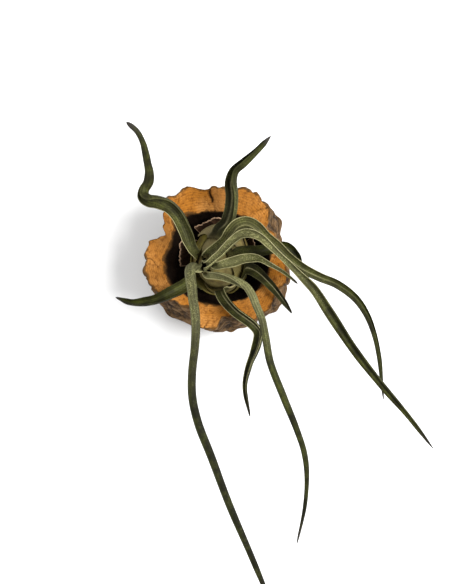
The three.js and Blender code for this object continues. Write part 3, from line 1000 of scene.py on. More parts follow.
    def sawn_face(self, rim_out: Array, rim_in: Array) -> Band:
        """The sawn face, with saw marks and cracks, and sunk a little towards the hollow.

        Args:
            rim_out: its outer distance from the axis.
            rim_in: its inner distance from the axis.

        Returns:
            The rows, from the outside inwards.
        """
        share = np.linspace(0.0, 1.0, self.face_rows)[:, None]
        outward = 1.0 - share
        crack = np.maximum.reduce([c.depth(self.degrees, outward) for c in self.cracks])
        saw = self.saw_height * self.saw_noise.at(self.turn, share)
        sunk = self.inner_drop * smoothstep(share, *self.inner_drop_over) + self.crack_depth * crack
        height = self.height - self.face_drop + np.minimum(saw, self.face_drop) - sunk
        points = self.ring(rim_out + (rim_in - rim_out) * share, height)
        # Crack also marks where the finish paints the cracks dark as shade.
        return Band(points, face=1.0, ring=outward, crack=crack, dull=self.dullness())

    def inside(self) -> tuple[Array, Band]:
        """The hollow's wall, from the rim down to the foot, rough in its upper part and painted
        near-black as shade below the rim.

        Returns:
            The distance of each point from its ring's middle, and the rows.
        """
        top = self.height
        share = np.linspace(0.0, 1.0, self.hollow_rows)[1:, None]
        height = top - self.hollow_drop - (top - self.hollow_drop) * share
        rough = smoothstep(height, *self.rough_over) * self.hollow_rough
        rough = rough * self.hollow_noise.at(self.turn, height)
        radius = self.hollow_radius(height) + rough
        points = self.ring(radius, height, 1.0 - eased(self.opening, height))
        # How far the wall is painted near-black as shade, from just below the rim downwards.
        dark = smoothstep(-height, *(-top + drop for drop in self.dark_below))
        return radius, Band(points, face=0.55, hollow=dark, dull=0.3)

    def sole(self, inner: Array, outer: Array) -> Band:
        """The flat foot, from the hollow out to the bark side.

        Args:
            inner: its inner distance from the ring's middle.
            outer: its outer distance from the axis.

        Returns:
            The rows.
        """
        share = self.between(self.foot_rows)
        shift = (1.0 - eased(self.opening, 0.0)) * (1.0 - share)
        points = self.ring(inner + (outer - inner) * share, 0.0, shift)
        return Band(points, face=0.8, ring=0.5, dull=0.6)

    def between(self, rows: int) -> Array:
        """Even shares for rows that lie between two bands, without the bands' own rows."""
        return np.linspace(0.0, 1.0, rows + 2)[1:-1, None]

    def ring(self, radius: Array, height: Number, shift: Number = 0.0) -> Array:
        """Points round the tube.

        Args:
            radius: the distance from the ring's middle.
            height: the height above the foot.
            shift: how far the middle has moved to the throat's, as a share.

        Returns:
            The points.
        """
        angle = np.radians(self.degrees)
        x = self.throat_shift[0] * shift + radius * np.cos(angle)
        y = self.throat_shift[1] * shift + radius * np.sin(angle)
        return np.stack(np.broadcast_arrays(x, y, height), -1)

    def dullness(self) -> Array:
        """Where the sawn face is duller: beside the large crack, and in a few soft patches."""
        first, last = self.dull_sector
        sector = smoothstep(self.degrees, *first) * smoothstep(-self.degrees, *last)
        patches = smoothstep(self.dull_noise.at(self.turn), *self.patch_over)
        dull = sector * self.sector_dullness + self.patch_dullness * patches
        return np.clip(dull, 0.0, 1.0)


# The bulb and its leaves


@dataclass(frozen=True)
class Bulb:
    """The bulb that the sheaths form: a leaning axis and a round-bellied profile.

    Across the axis it is oval: depth is its radius front to back, as a share of that from
    side to side.
    """

    foot: Point = (5.0, 9.0, 17.0)
    neck: Point = (-4.6, -6.4, 66.0)
    belly_radius: float = 16.8
    belly_at: float = 27.0
    foot_radius: float = 3.9
    neck_radius: float = 8.6
    neck_at: float = 51.0
    depth: float = 1.25
    pitch: float = 1.35

    def axes(self) -> Array:
        """Three unit vectors: across the bulb, across again at a right angle, and up it."""
        up = unit(np.array(self.neck) - np.array(self.foot))
        across = unit(np.array([1.0, 0.0, 0.0]) - up * up[0])
        return np.stack([across, np.cross(up, across), up])

    def radius(self, up: Array) -> Array:
        """The profile: a quarter sine from the foot to the belly, then half a cosine."""
        rise = np.sin(np.clip(up / self.belly_at, 0.0, 1.0) * np.pi / 2)
        low = self.foot_radius + (self.belly_radius - self.foot_radius) * rise
        share = np.clip((up - self.belly_at) / (self.neck_at - self.belly_at), 0.0, 1.0)
        fall = 0.5 + 0.5 * np.cos(share * np.pi)
        high = self.neck_radius + (self.belly_radius - self.neck_radius) * fall
        return np.where(up < self.belly_at, low, high)

    def place(self, points: Array) -> tuple[Array, Array, Array]:
        """Radius, angle round the axis in degrees, and height along it."""
        x, y, up = np.moveaxis((points - np.array(self.foot)) @ self.axes().T, -1, 0)
        y = y / self.depth
        return np.hypot(x, y), np.degrees(np.arctan2(y, x)), up

    def point(self, radius: Array, degrees: Array, up: Array) -> Array:
        """The point at a distance from the axis, an angle round it and a height.

        Args:
            radius: the distance, across the bulb.
            degrees: the angle.
            up: the height along the axis from the bulb's foot.

        Returns:
            The points, from the tube's axis at the floor.
        """
        turn = np.radians(degrees)
        x, y = radius * np.cos(turn), self.depth * radius * np.sin(turn)
        local = np.stack(np.broadcast_arrays(x, y, up), -1)
        return np.array(self.foot) + local @ self.axes()

    def layer_radius(self, shell: int, up: Array) -> Array:
        """The profile of a layer, counted inwards from the outermost."""
        return self.radius(up) - shell * self.pitch

    def layer_start(self, shell: int) -> float:
        """Where a layer leaves the stem, measured up the axis."""
        share = shell * self.pitch / (self.belly_radius - self.foot_radius)
        return self.belly_at * math.asin(share) * 2.0 / math.pi


def centripetal_curve(marks: Array, samples: int) -> Array:
    """A centripetal Catmull-Rom curve through the marks.

    Between two marks the curve is a cubic whose end slopes come from the neighbouring
    marks, weighted by the square roots of the distances between them.

    Args:
        marks: the points that the curve passes, one per row.
        samples: points per stretch between two marks.

    Returns:
        Evenly numbered points along the curve, samples for each stretch and one more.
    """
    line = np.concatenate([[2 * marks[0] - marks[1]], marks, [2 * marks[-1] - marks[-2]]])
    a, b, c, d = line[:-3], line[1:-2], line[2:-1], line[3:]
    root = np.sqrt(np.linalg.norm(np.diff(line, axis=0), axis=1))[:, None]
    before, here, after = root[:-2], root[1:-1], root[2:]
    first = ((b - a) / before - (c - a) / (before + here) + (c - b) / here) * here
    last = ((c - b) / here - (d - b) / (here + after) + (d - c) / after) * here
    t = (np.arange(samples) / samples)[None, :, None]
    b, c, first, last = (v[:, None, :] for v in (b, c, first, last))
    cubic = b + first * t + (3 * (c - b) - 2 * first - last) * t**2
    cubic = cubic + (2 * (b - c) + first + last) * t**3
    return np.concatenate([cubic.reshape(-1, 3), marks[-1:]])


@dataclass(frozen=True)
class Keel:
    """A leaf's keel line: places, directions and distances from the foot."""

    points: Array
    tangents: Array
    at: Array
    sheath_length: float

    @property
    def length(self) -> float:
        """The whole length."""
        return float(self.at[-1])


@dataclass(frozen=True)
class Rows:
    """What the leaf's rows share: its keel, and one number for each row.

    Past is in millimetres past the shoulder, and along is 0 to 1 over the blade. Radius
    and curl, half an angle in radians, are the channel's. In_blade is 0 in the sheath and
    1 in the blade.
    """

    keel: Keel
    past: Array
    along: Array
    radius: Array
    curl: Array
    in_blade: Array
    axis_distance: Array
    azimuth: Array
    up: Array


@dataclass
class Leaf:
    """One leaf: a sheath on a layer of the bulb that turns into a channelled blade.

    Shell is the sheath's layer, counted inwards. Azimuth and span, half its width, are in
    degrees round the bulb, and rise is where its keel ends, in mm up the axis.
    """

    node: str
    slot: Slot
    shell: int
    azimuth: float
    span: float
    rise: float
    route: Sequence[Point]
    radius: Marks
    roll: Marks
    curl: Marks
    pale: Marks
    margin: Marks
    tone: tuple[float, float]
    hue: float
    edges: tuple[float, float] = (1.0, 1.0)
    # How strongly painted shade darkens one side of the blade, split at the stripe's place; below 0
    # it darkens the other side.
    side_shade_strength: float = 0.0
    stripe: tuple[float, float] = (0.0, 0.0)
    shoulder_at: float = 0.72
    ripple: float = 0.0
    ripple_length: float = 16.0
    bulb: Bulb = Bulb()
    thickness: float = 0.85
    sheath_thickness: float = 0.75
    row_step: float = 0.9
    arc_points: int = 25
    samples: int = 160
    sheath_marks: int = 9
    lip_points: int = 3
    lip_bulge: float = 0.035
    margin_thinning: float = 0.68
    least_radius: float = 0.25
    least_tip: float = 0.12
    tip_rounding: float = 0.03
    leaves_bulb: Span = (0.3, 1.6)
    blade_over: Span = (1.0, 14.0)
    centred_over: Span = (0.0, 20.0)
    # Half the width of the soft step into the painted side shade, as a share across.
    side_shade_blur: float = 0.12
    stripe_width: float = 0.07
    stripe_starts: Span = (0.04, 0.15)
    stripe_ends: Span = (-0.95, -0.7)
    ripple_over: Span = (4.0, 16.0)
    ripple_phase: float = 2.1

    def keel(self) -> Keel:
        """The keel: marks up the layer, then the blade's route, at even distances.

        Returns:
            The keel, with its first rows in the sheath and the others in the blade.
        """
        up = np.linspace(self.bulb.layer_start(self.shell), self.rise, self.sheath_marks)
        sheath = self.bulb.point(self.bulb.layer_radius(self.shell, up), self.azimuth, up)
        marks = np.concatenate([sheath, np.array(self.route)])
        line = centripetal_curve(marks, self.samples)
        run = np.concatenate([[0.0], np.cumsum(np.linalg.norm(np.diff(line, axis=0), axis=1))])
        at = np.linspace(0.0, run[-1], int(round(run[-1] / self.row_step)) + 1)
        points = np.stack([np.interp(at, run, line[:, k]) for k in range(3)], -1)
        tangents = unit(np.gradient(points, axis=0))
        return Keel(points, tangents, at, float(run[(self.sheath_marks - 1) * self.samples]))

    def open_side(self, keel: Keel, roll: Array, in_blade: Array) -> Array:
        """The channel's open side: to the bulb's axis in the sheath, upwards in the blade.

        The upward direction is made square to the keel and rolled about it.

        Args:
            keel: the keel line.
            roll: the blade's roll in degrees, for each row.
            in_blade: 0 in the sheath to 1 in the blade, for each row.

        Returns:
            A unit vector for each row.
        """
        tangent = keel.tangents
        upward = unit(np.array([0.0, 0.0, 1.0]) - tangent * tangent[:, 2:])
        side = np.cross(tangent, upward)
        turn = np.radians(roll)[:, None]
        blade = upward * np.cos(turn) + side * np.sin(turn)
        rel = keel.points - np.array(self.bulb.foot)
        axis = self.bulb.axes()[2]
        inward = axis * (rel @ axis)[:, None] - rel
        inward = unit(inward - tangent * np.sum(inward * tangent, -1, keepdims=True))
        share = in_blade[:, None]
        return unit(inward * (1 - share) + blade * share)

    def rows(self) -> Rows:
        """Reads what changes along the leaf.

        A row turns from sheath to blade past the shoulder, or sooner where the keel
        comes clear of the bulb.

        Returns:
            The rows' numbers.
        """
        keel = self.keel()
        past = keel.at - keel.sheath_length
        along = np.clip(past / (keel.length - keel.sheath_length), 0.0, 1.0)
        radius = eased(self.radius, along)
        curl = np.radians(eased(self.curl, along))
        out, azimuth, up = self.bulb.place(keel.points)
        clear = out - self.bulb.layer_radius(self.shell, up)
        leaving = smoothstep(clear / radius, *self.leaves_bulb)
        in_blade = np.maximum(leaving, smoothstep(past, *self.blade_over))
        in_blade = np.where(past < 0, 0.0, in_blade)
        return Rows(keel, past, along, radius, curl, in_blade, out, azimuth, up)

    def blade(self, rows: Rows, across: Array, wall: Array) -> Array:
        """The skin of a channelled blade.

        A section is an arc about a point on the open side. It is thinner towards its
        margins, and shrinks to a rounded tip.

        Args:
            rows: the rows' numbers.
            across: the section's places across.
            wall: its shares of the wall's thickness.

        Returns:
            The points, row by row.
        """
        keel, radius = rows.keel, rows.radius[:, None]
        normal = self.open_side(keel, eased(self.roll, rows.along), rows.in_blade)
        side = np.cross(normal, keel.tangents)
        thin = self.thickness * (1.0 - self.margin_thinning * np.abs(across) ** 5)
        inner = np.maximum(radius - thin, self.least_radius)
        r = radius + (inner - radius) * wall
        taper = np.sqrt(np.clip((1.0 - rows.along) / self.tip_rounding, 0.0, 1.0))
        r = r * (self.least_tip + (1.0 - self.least_tip) * taper[:, None])
        angle = across * rows.curl[:, None]
        centred = smoothstep(rows.past, *self.centred_over)[:, None] * radius
        lift = radius - centred - r * np.cos(angle) + self.ripples(rows.past, across)
        blade = keel.points[:, None] + normal[:, None] * lift[..., None]
        return blade + side[:, None] * (r * np.sin(angle))[..., None]

    def sheath(self, rows: Rows, across: Array, wall: Array) -> Array:
        """The skin of the sheath, which lies on its layer and narrows to the shoulder.

        Args:
            rows: the rows' numbers.
            across: the section's places across.
            wall: its shares of the wall's thickness.

        Returns:
            The points, row by row.
        """
        narrow = np.degrees(rows.radius * rows.curl / rows.axis_distance)
        shoulder = smoothstep(rows.keel.at / rows.keel.sheath_length, self.shoulder_at, 1.0)
        span = self.span + (np.minimum(narrow, self.span) - self.span) * shoulder
        distance = rows.axis_distance[:, None] - self.sheath_thickness * wall
        turned = rows.azimuth[:, None] + across * span[:, None]
        return self.bulb.point(distance, turned, rows.up[:, None])

    def surface(self) -> Grid:
        """The leaf's whole skin: each row is sheath, blade or something between the two.

        Returns:
            The grid, with the values that the leaf finish reads.
        """
        rows = self.rows()
        across, wall = strip_section(self.arc_points, self.lip_points, self.lip_bulge)
        share = rows.in_blade[:, None, None]
        sheath = self.sheath(rows, across, wall) * (1 - share)
        blade = self.blade(rows, across, wall) * share
        # The painted side shade thins the pale scales and darkens the tone on one side of the
        # blade.
        along, side_shade = rows.along[:, None], self.painted_side_shade(across)
        values = {
            "across": across,
            "along": along,
            "past": rows.past[:, None],
            "pale": eased(self.pale, along) * (1.0 - side_shade),
            "margin": eased(self.margin, along) * np.where(across > 0, *self.edges),
            "stripe": self.stripe_line(along, across),
            "tone": self.tone[0] + (self.tone[1] - self.tone[0]) * wall - side_shade,
            "hue": self.hue,
        }
        return Grid(sheath + blade, Closing.ENDS, values)

    def painted_side_shade(self, across: Array) -> Array:
        """Painted shade on one side: beyond the stripe, or short of it for a strength below 0."""
        middle = self.stripe[0]
        beyond = smoothstep(across, middle - self.side_shade_blur, middle + self.side_shade_blur)
        return max(self.side_shade_strength, 0.0) * beyond + max(-self.side_shade_strength, 0.0) * (1.0 - beyond)

    def stripe_line(self, along: Array, across: Array) -> Array:
        """A pale stripe along the blade: a bell curve about its place across."""
        bell = np.exp(-(((across - self.stripe[0]) / self.stripe_width) ** 2))
        ends = smoothstep(along, *self.stripe_starts) * smoothstep(-along, *self.stripe_ends)
        return self.stripe[1] * bell * ends

    def ripples(self, past: Array, across: Array) -> Array:
        """Small waves of the two margins, out of step with each other.

        A sine of the distance along, stronger towards the margin by its third power.

        Args:
            past: millimetres past the shoulder, for each row.
            across: the section's places across.

        Returns:
            How far each point is lifted.
        """
        turn = 2 * np.pi * past[:, None] / self.ripple_length
        phase = np.where(across > 0, 0.0, self.ripple_phase)
        wave = np.sin(turn + phase) + 0.5 * np.sin(1.7 * turn + 2 * phase)
        grow = smoothstep(past, *self.ripple_over)[:, None]
        return self.ripple * wave * grow * np.abs(across) ** 3

    def build(self, materials: dict[Slot, Material]) -> None:
        """Makes the leaf in its slot's finish and seats it in its node's place."""
        piece = self.surface().make(self.node + "_skin", materials[self.slot])
        seat(piece, self.node, self.slot)


@dataclass
class DrySheath:
    """A dried, papery sheath: a strip round the bulb that leans to the hollow's wall.

    Flare is its radius at the top and bend the power that it grows by. Lift raises one
    side of it outwards. Start and end are heights up the bulb's axis, in mm.
    """

    node: str
    shell: int
    azimuth: float
    span: float
    flare: float
    bend: float
    lift: float
    start: float
    end: float
    seed: int
    # How deep the painted shade on the skin lies, 0 to 1: deepest for a sheath down in the hollow.
    painted_shade: float
    bulb: Bulb = Bulb()
    thickness: float = 0.75
    thinning: float = 0.55
    taper: float = 0.2
    tear: float = 0.09
    crumple: float = 0.55
    crumple_over: Span = (0.15, 0.6)
    thin_over: Span = (0.2, 1.0)
    top_rim: Span = (0.9, 0.99)
    side_rim: Span = (0.93, 0.99)
    rows: int = 44
    arc_points: int = 61
    lip_points: int = 3

    def surface(self) -> Grid:
        """The strip's skin, crumpled and torn along its top.

        Its radius grows from the bulb's to the flare with a power of the height, and
        layered noise crumples it. The top edge is cut down by a second noise.

        Returns:
            The grid, with the values that the papery finish reads.
        """
        share = np.linspace(0.0, 1.0, self.rows)[:, None]
        across, wall = strip_section(self.arc_points, self.lip_points, 0.0)
        turn = 0.5 + across / 3
        torn = 1.0 - self.tear * (0.5 + 0.5 * Noise(self.seed, (12, 1)).at(turn))
        height = share * torn
        up = self.start + (self.end - self.start) * height
        close = self.bulb.layer_radius(self.shell, up)
        radius = close + (self.flare - close) * height**self.bend
        radius = radius + self.lift * (height * np.maximum(across, 0.0)) ** 2
        folds = 0.5 + 0.5 * Noise(self.seed + 9, (22, 5)).at(turn, share)
        radius = radius - self.crumple * folds * smoothstep(share, *self.crumple_over)
        thin = self.thickness * (1.0 - self.thinning * smoothstep(share, *self.thin_over))
        radius = radius - thin * wall
        span = self.span * (1.0 - self.taper * share * share)
        points = self.bulb.point(radius, self.azimuth + across * span, up)
        sides = smoothstep(np.abs(across), *self.side_rim)
        rim = np.maximum(smoothstep(share, *self.top_rim), sides)
        return Grid(points, Closing.ENDS, {"across": across, "rim": rim, "painted_shade": self.painted_shade})

    def build(self, material: Material) -> None:
        """Makes the dried sheath and seats it in its node's place."""
        piece = self.surface().make(self.node + "_paper", material)
        seat(piece, self.node, Slot.DRY_SHEATH)


@dataclass
class Stem:
    """The short stem inside the bulb's foot, ringed by the scars of old leaves."""

    profile: Marks = ((-2.5, 2.5), (-1.25, 3.2), (0.0, 2.8), (6.3, 2.8), (9.0, 1.1))
    bulb: Bulb = Bulb()
    sides: int = 48
    rows: int = 46
    scar_step: float = 1.5
    scar_depth: float = 0.14
    end_radius: float = 0.05

    def build(self, material: Material) -> None:
        """Turns the profile round the bulb's axis, with evenly spaced ring scars.

        The scars cut in by a raised cosine, and each end closes on a near-point.

        Args:
            material: the stem's finish.
        """
        heights, radii = np.array(self.profile).T
        up = np.linspace(heights[0], heights[-1], self.rows)
        scars = 0.5 + 0.5 * np.cos(2 * np.pi * up / self.scar_step)
        radius = np.interp(up, heights, radii) - self.scar_depth * scars
        up = np.concatenate([[up[0]], up, [up[-1]]])
        radius = np.concatenate([[self.end_radius], radius, [self.end_radius]])
        turn = np.arange(self.sides) * 360.0 / self.sides
        points = self.bulb.point(radius[:, None], turn, up[:, None])
        values = {"across": turn / 180.0 - 1.0, "rim": 0.0, "painted_shade": 0.0}
        piece = Grid(points, Closing.ENDS, values).make("stem_wood", material)
        seat(piece, "stem", Slot.STEM)


# The leaves from the outermost sheath to the innermost. Routes are from the tube's axis at
# the floor, in mm, and marks run from 0 at the blade's foot to 1 at its tip.
LEAVES = (
    Leaf(
        "leaf_broad_right", Slot.LEAF_GREEN, shell=0, azimuth=-24, span=57, rise=31,
        route=[
            (16.6, -6.1, 50.5), (20.2, -7.4, 54), (23.9, -10.3, 56.5), (27.7, -14.1, 57.7),
            (31.4, -18.2, 57.7), (34.8, -22.5, 56.5), (37.7, -26.5, 54), (40.4, -30.5, 50.5),
        ],
        radius=[(0, 4.4), (0.25, 3.3), (0.5, 2.5), (0.8, 1.6), (1, 0.6)],
        roll=[(0, 0), (1, 10)],
        curl=[(0, 75), (0.4, 85), (1, 115)],
        pale=[(0, 0.3), (0.3, 0.15), (0.7, 0.05)],
        margin=[(0, 0.3), (0.5, 0.2), (1, 0)],
        tone=(0.2, 0.4), hue=0.15, edges=(0.3, 0.5), side_shade_strength=0.35, stripe=(0.1, 0.8),
    ),
    Leaf(
        "leaf_left", Slot.LEAF_GREEN, shell=0, azimuth=217, span=52, rise=32,
        route=[
            (-15, -13.5, 50.5), (-18.5, -16, 54), (-23, -18.5, 56.5), (-27.5, -20.8, 57.5),
            (-32.5, -22.7, 57), (-38.5, -23.7, 56), (-46.5, -23.7, 54), (-55.5, -20.6, 52),
        ],
        radius=[(0, 4), (0.3, 3.6), (0.65, 2.6), (0.85, 1.7), (1, 0.6)],
        roll=[(0, 0), (1, 30)],
        curl=[(0, 75), (0.3, 100), (1, 140)],
        pale=[(0, 0.2), (0.3, 0.1), (0.7, 0.05)],
        margin=[(0, 0.1), (0.3, 0)],
        tone=(0.1, 0.48), hue=0.1,
    ),
    Leaf(
        "leaf_folded", Slot.LEAF_GREEN, shell=1, azimuth=287, span=58, rise=33,
        route=[
            (2.5, -19, 52.8), (4.4, -22.9, 55.8), (7.7, -27.2, 57.8), (11.7, -31, 58.3),
            (16.4, -34.4, 58.3), (20.4, -37.6, 57.8), (22.6, -40.8, 55.8), (22, -45, 51.5),
            (19.8, -50.5, 46.5), (16, -58, 39), (13, -69, 31), (15, -85, 22),
        ],
        radius=[(0, 3.2), (0.1, 3), (0.3, 2.6), (0.5, 2.6), (0.65, 1.9), (0.85, 1.3), (1, 0.6)],
        roll=[(0, 20), (1, 20)],
        curl=[(0, 66), (0.2, 105), (1, 135)],
        pale=[(0, 0.25), (0.2, 0.1), (0.5, 0.05)],
        margin=[(0, 0.8), (0.6, 0.7), (1, 0)],
        tone=(0.32, 0.25), hue=0.85, edges=(1, 0.8), stripe=(0, 0.7),
    ),
    Leaf(
        "leaf_upper", Slot.LEAF_GREEN, shell=1, azimuth=74, span=62, rise=39,
        route=[
            (3.4, 12.6, 61), (7.4, 16.5, 64.5), (9.4, 22.5, 67.5), (10.4, 30, 70), (10.2, 37, 73),
            (12.3, 42, 76), (17.9, 45.5, 80), (24.7, 50.5, 83), (32.4, 57.8, 85),
        ],
        radius=[(0, 4), (0.2, 3.6), (0.45, 3.4), (0.65, 2.5), (0.9, 1.6), (1, 0.6)],
        roll=[(0, -20), (1, -50)],
        curl=[(0, 78), (0.3, 115), (1, 150)],
        pale=[(0, 0.15), (0.3, 0.2), (0.6, 0.1), (1, 0)],
        margin=[(0, 0.2), (1, 0)],
        tone=(0.42, 0.6), hue=1, edges=(0.6, 0.1), side_shade_strength=0.6, stripe=(0.3, 0.6),
    ),
    Leaf(
        "leaf_dark_right", Slot.LEAF_GREEN, shell=2, azimuth=13, span=58, rise=39,
        route=[
            (10.5, 0, 57.8), (14, 1.5, 60.5), (20, 2, 61.5), (25, 2, 61.5), (30, 3, 60.5),
            (33.5, 3.8, 59.5), (37.2, 4.2, 58.5), (40.6, 2.6, 57), (43.6, -0.7, 54.5),
            (46.3, -5.1, 51),
        ],
        radius=[(0, 4), (0.3, 2.8), (0.7, 2.9), (0.85, 2.3), (1, 0.6)],
        roll=[(0, 0), (1, 0)],
        curl=[(0, 58), (0.3, 85), (1, 130)],
        pale=[(0, 0.2), (0.3, 0.08), (0.7, 0)],
        margin=[(0, 0), (1, 0)],
        tone=(0.1, 0.35), hue=0.45,
    ),
    Leaf(
        "leaf_elbow", Slot.LEAF_GREEN, shell=2, azimuth=150, span=58, rise=43,
        route=[
            (-11.3, 4, 68.5), (-14.5, 12.3, 72), (-17.8, 19.2, 75), (-22.3, 23.9, 76.5),
            (-28.1, 26.2, 76.8), (-33.2, 27.4, 75.5), (-36.7, 30.5, 73.6), (-36.4, 34.3, 73.3),
            (-33.9, 37.7, 74.6), (-32.7, 41.7, 78), (-32.8, 46.1, 82), (-33, 50.4, 86.5),
            (-33.7, 55, 90.5), (-36.1, 59.9, 94), (-41.2, 64.5, 96),
        ],
        radius=[
            (0, 1.6), (0.05, 2.1), (0.11, 2.8), (0.17, 3.5), (0.3, 3.6), (0.5, 3.5), (0.62, 3.1),
            (0.75, 2.2), (0.9, 1.6), (1, 1.4),
        ],
        roll=[(0, 0), (0.35, -25), (0.5, -60), (0.7, -90), (1, -90)],
        curl=[(0, 80), (0.3, 105), (0.6, 130), (1, 150)],
        pale=[(0, 0.35), (0.15, 0.2), (0.4, 0.2), (0.55, 0.1), (0.8, 0.05)],
        margin=[(0, 0.75), (0.35, 0.7), (0.5, 0.3), (0.7, 0)],
        tone=(0.25, 0.35), hue=0, edges=(1, 0.15),
    ),
    Leaf(
        "leaf_lower_long", Slot.LEAF_PALE, shell=3, azimuth=256, span=62, rise=45.5,
        route=[
            (-2, -11.9, 69.5), (1.7, -12.6, 72.2), (5.7, -13.7, 74.7), (12, -16, 77.5),
            (18.5, -20, 80), (22, -25, 81), (24, -30, 81.5), (26.5, -36, 81), (28.5, -46, 79),
            (30.5, -58, 76), (37, -76, 69), (43, -92, 61), (46.5, -104, 55), (47.5, -115, 50),
            (46, -132, 42), (41, -153, 33),
        ],
        radius=[
            (0, 1.5), (0.03, 1.7), (0.1, 2.2), (0.2, 2.5), (0.3, 2.2), (0.5, 2), (0.7, 1.6),
            (0.85, 1.15), (1, 0.6),
        ],
        roll=[(0, 0), (0.12, 50), (0.25, 110), (1, 150)],
        curl=[(0, 80), (0.04, 85), (0.2, 115), (1, 150)],
        pale=[(0, 0.9), (0.12, 0.85), (0.24, 0.7), (0.34, 0.2), (0.45, 0)],
        margin=[(0, 0.9), (0.2, 0.6), (0.35, 0.1), (1, 0)],
        tone=(0.3, 0.3), hue=0.6,
    ),
    Leaf(
        "leaf_right_arch", Slot.LEAF_GREEN, shell=3, azimuth=95, span=62, rise=45,
        route=[
            (-1.8, 0.2, 67.5), (2.6, 2.5, 71), (7.3, 5.8, 75), (10.6, 9.5, 78.3), (14.8, 12.7, 81),
            (19.7, 13.4, 82), (24.5, 10.9, 82), (29, 6, 80), (35, 1, 78), (40, -4, 76),
            (47.8, -9.9, 74), (56.2, -14.1, 71), (65, -17.5, 67), (74, -24, 62), (79.8, -32, 57),
            (83.9, -42.6, 51), (86.3, -54.3, 45), (87.4, -65.7, 39), (88.4, -76.2, 34),
        ],
        radius=[
            (0, 2), (0.05, 2.3), (0.1, 2.8), (0.17, 3.3), (0.3, 3.1), (0.42, 2.7), (0.55, 2.3),
            (0.85, 1.3), (1, 0.6),
        ],
        roll=[(0, -20), (0.4, -40), (1, -60)],
        curl=[(0, 105), (1, 150)],
        pale=[(0, 0.3), (0.12, 0.55), (0.3, 0.4), (0.45, 0.2), (0.7, 0.05)],
        margin=[(0, 0.7), (0.3, 0.8), (0.48, 0.7), (0.56, 0)],
        tone=(0.33, 0.48), hue=0.8, edges=(1, 0.5),
    ),
    Leaf(
        "leaf_forward_long", Slot.LEAF_PALE, shell=4, azimuth=205, span=62, rise=49,
        route=[
            (-9.1, -7.8, 75.5), (-10, -10.5, 80.5), (-9.2, -15.5, 85.3), (-8, -21, 88),
            (-7.2, -27, 89.5), (-6, -34, 90), (-5.7, -42, 89.5), (-6.4, -51, 88), (-8.2, -64, 85),
            (-8.6, -76, 81), (-6.3, -89, 76), (-0.8, -106, 67), (7, -131, 54), (17, -158, 41),
            (28, -188, 28),
        ],
        radius=[
            (0, 1.7), (0.05, 2.4), (0.1, 2.8), (0.2, 2.4), (0.32, 2.1), (0.5, 2.2), (0.7, 2),
            (0.85, 1.7), (1, 1),
        ],
        roll=[(0, -90), (0.04, -120), (0.1, -155), (0.2, -170), (1, -170)],
        curl=[(0, 115), (0.03, 125), (0.09, 155), (0.15, 164), (1, 166)],
        pale=[(0, 0.7), (0.1, 0.85), (0.2, 0.65), (0.32, 0.15), (0.45, 0)],
        margin=[(0, 0.5), (0.1, 0.3), (0.2, 0), (1, 0)],
        tone=(0.5, 0.2), hue=0.6, side_shade_strength=-0.5,
    ),
    Leaf(
        "leaf_right_long", Slot.LEAF_PALE, shell=5, azimuth=25, span=140, rise=49.5,
        route=[
            (-1.5, -6.7, 74.3), (0.6, -5.2, 75.9), (2.4, -3.8, 77), (4.6, -2.3, 78),
            (8.2, 0.8, 80.3), (12.2, 4, 82.8), (17, 6.5, 86), (22, 6.3, 89), (27.2, 3.9, 90.3),
            (31.8, -0.3, 90.3), (36.5, -4.9, 89.5), (41.9, -10.1, 88), (47.7, -15.9, 85.5),
            (53.6, -22, 82.5), (61.1, -33.4, 77), (73.4, -52, 68), (87, -69.3, 58),
            (100.7, -85.1, 47), (114.2, -102.3, 35),
        ],
        radius=[
            (0, 1.5), (0.05, 1.9), (0.14, 2.2), (0.2, 2.4), (0.26, 1.9), (0.31, 1.5), (0.36, 1.7),
            (0.43, 2.4), (0.52, 2.7), (0.63, 2.3), (0.76, 1.9), (0.9, 1.3), (1, 0.6),
        ],
        roll=[(0, 0), (1, 20)],
        curl=[(0, 150), (0.08, 130), (0.2, 108), (1, 130)],
        pale=[(0, 0.6), (0.15, 0.65), (0.28, 0.6), (0.4, 0.25), (0.6, 0.05)],
        margin=[(0, 0.9), (0.3, 1), (0.38, 0.7), (0.46, 0.1), (0.6, 0)],
        tone=(0.4, 0.42), hue=0.6, edges=(1, 0.6),
    ),
    Leaf(
        "leaf_short_wavy", Slot.LEAF_PALE, shell=4, azimuth=360, span=60, rise=46.5,
        route=[
            (2.7, -7.1, 69.3), (6.9, -6.3, 71.3), (11.3, -5.5, 72.7), (18, -4, 74),
            (24.7, -4.2, 73.5), (29.9, -6.8, 71.5), (35.8, -9.9, 69.5), (39.9, -12.7, 67),
            (44.4, -16.5, 64),
        ],
        radius=[(0, 1.5), (0.15, 2.1), (0.3, 2.7), (0.48, 2.4), (0.62, 1.4), (0.8, 1), (1, 0.6)],
        roll=[(0, 0), (1, 10)],
        curl=[(0, 135), (0.12, 110), (0.3, 90), (1, 120)],
        pale=[(0, 0.5), (0.3, 0.65), (0.6, 0.4), (1, 0.1)],
        margin=[(0, 0.9), (0.7, 0.8), (1, 0)],
        tone=(0.4, 0.55), hue=0.5, ripple=0.5,
    ),
)

# Gloom is painted shade, deepest on the left sheath, whose inner face stands in the hollow's shade.
DRY_SHEATHS = (
    DrySheath(
        "dry_sheath_back", shell=0, azimuth=114, span=30, flare=18.6, bend=2, lift=2.6,
        start=10, end=24.5, seed=101, painted_shade=0.25,
    ),
    DrySheath(
        "dry_sheath_left", shell=-1, azimuth=174, span=18, flare=23.4, bend=0.7, lift=0,
        start=14, end=29, seed=131, painted_shade=0.85,
    ),
    DrySheath(
        "dry_sheath_right", shell=-1, azimuth=20, span=9, flare=20.2, bend=2, lift=0,
        start=12, end=20, seed=151, painted_shade=0.5,
    ),
)


# The studio


@dataclass(frozen=True)
class Lamp:
    """A square soft light; place and size are in metres."""

    name: str
    place: Point
    size: float
    watts: float


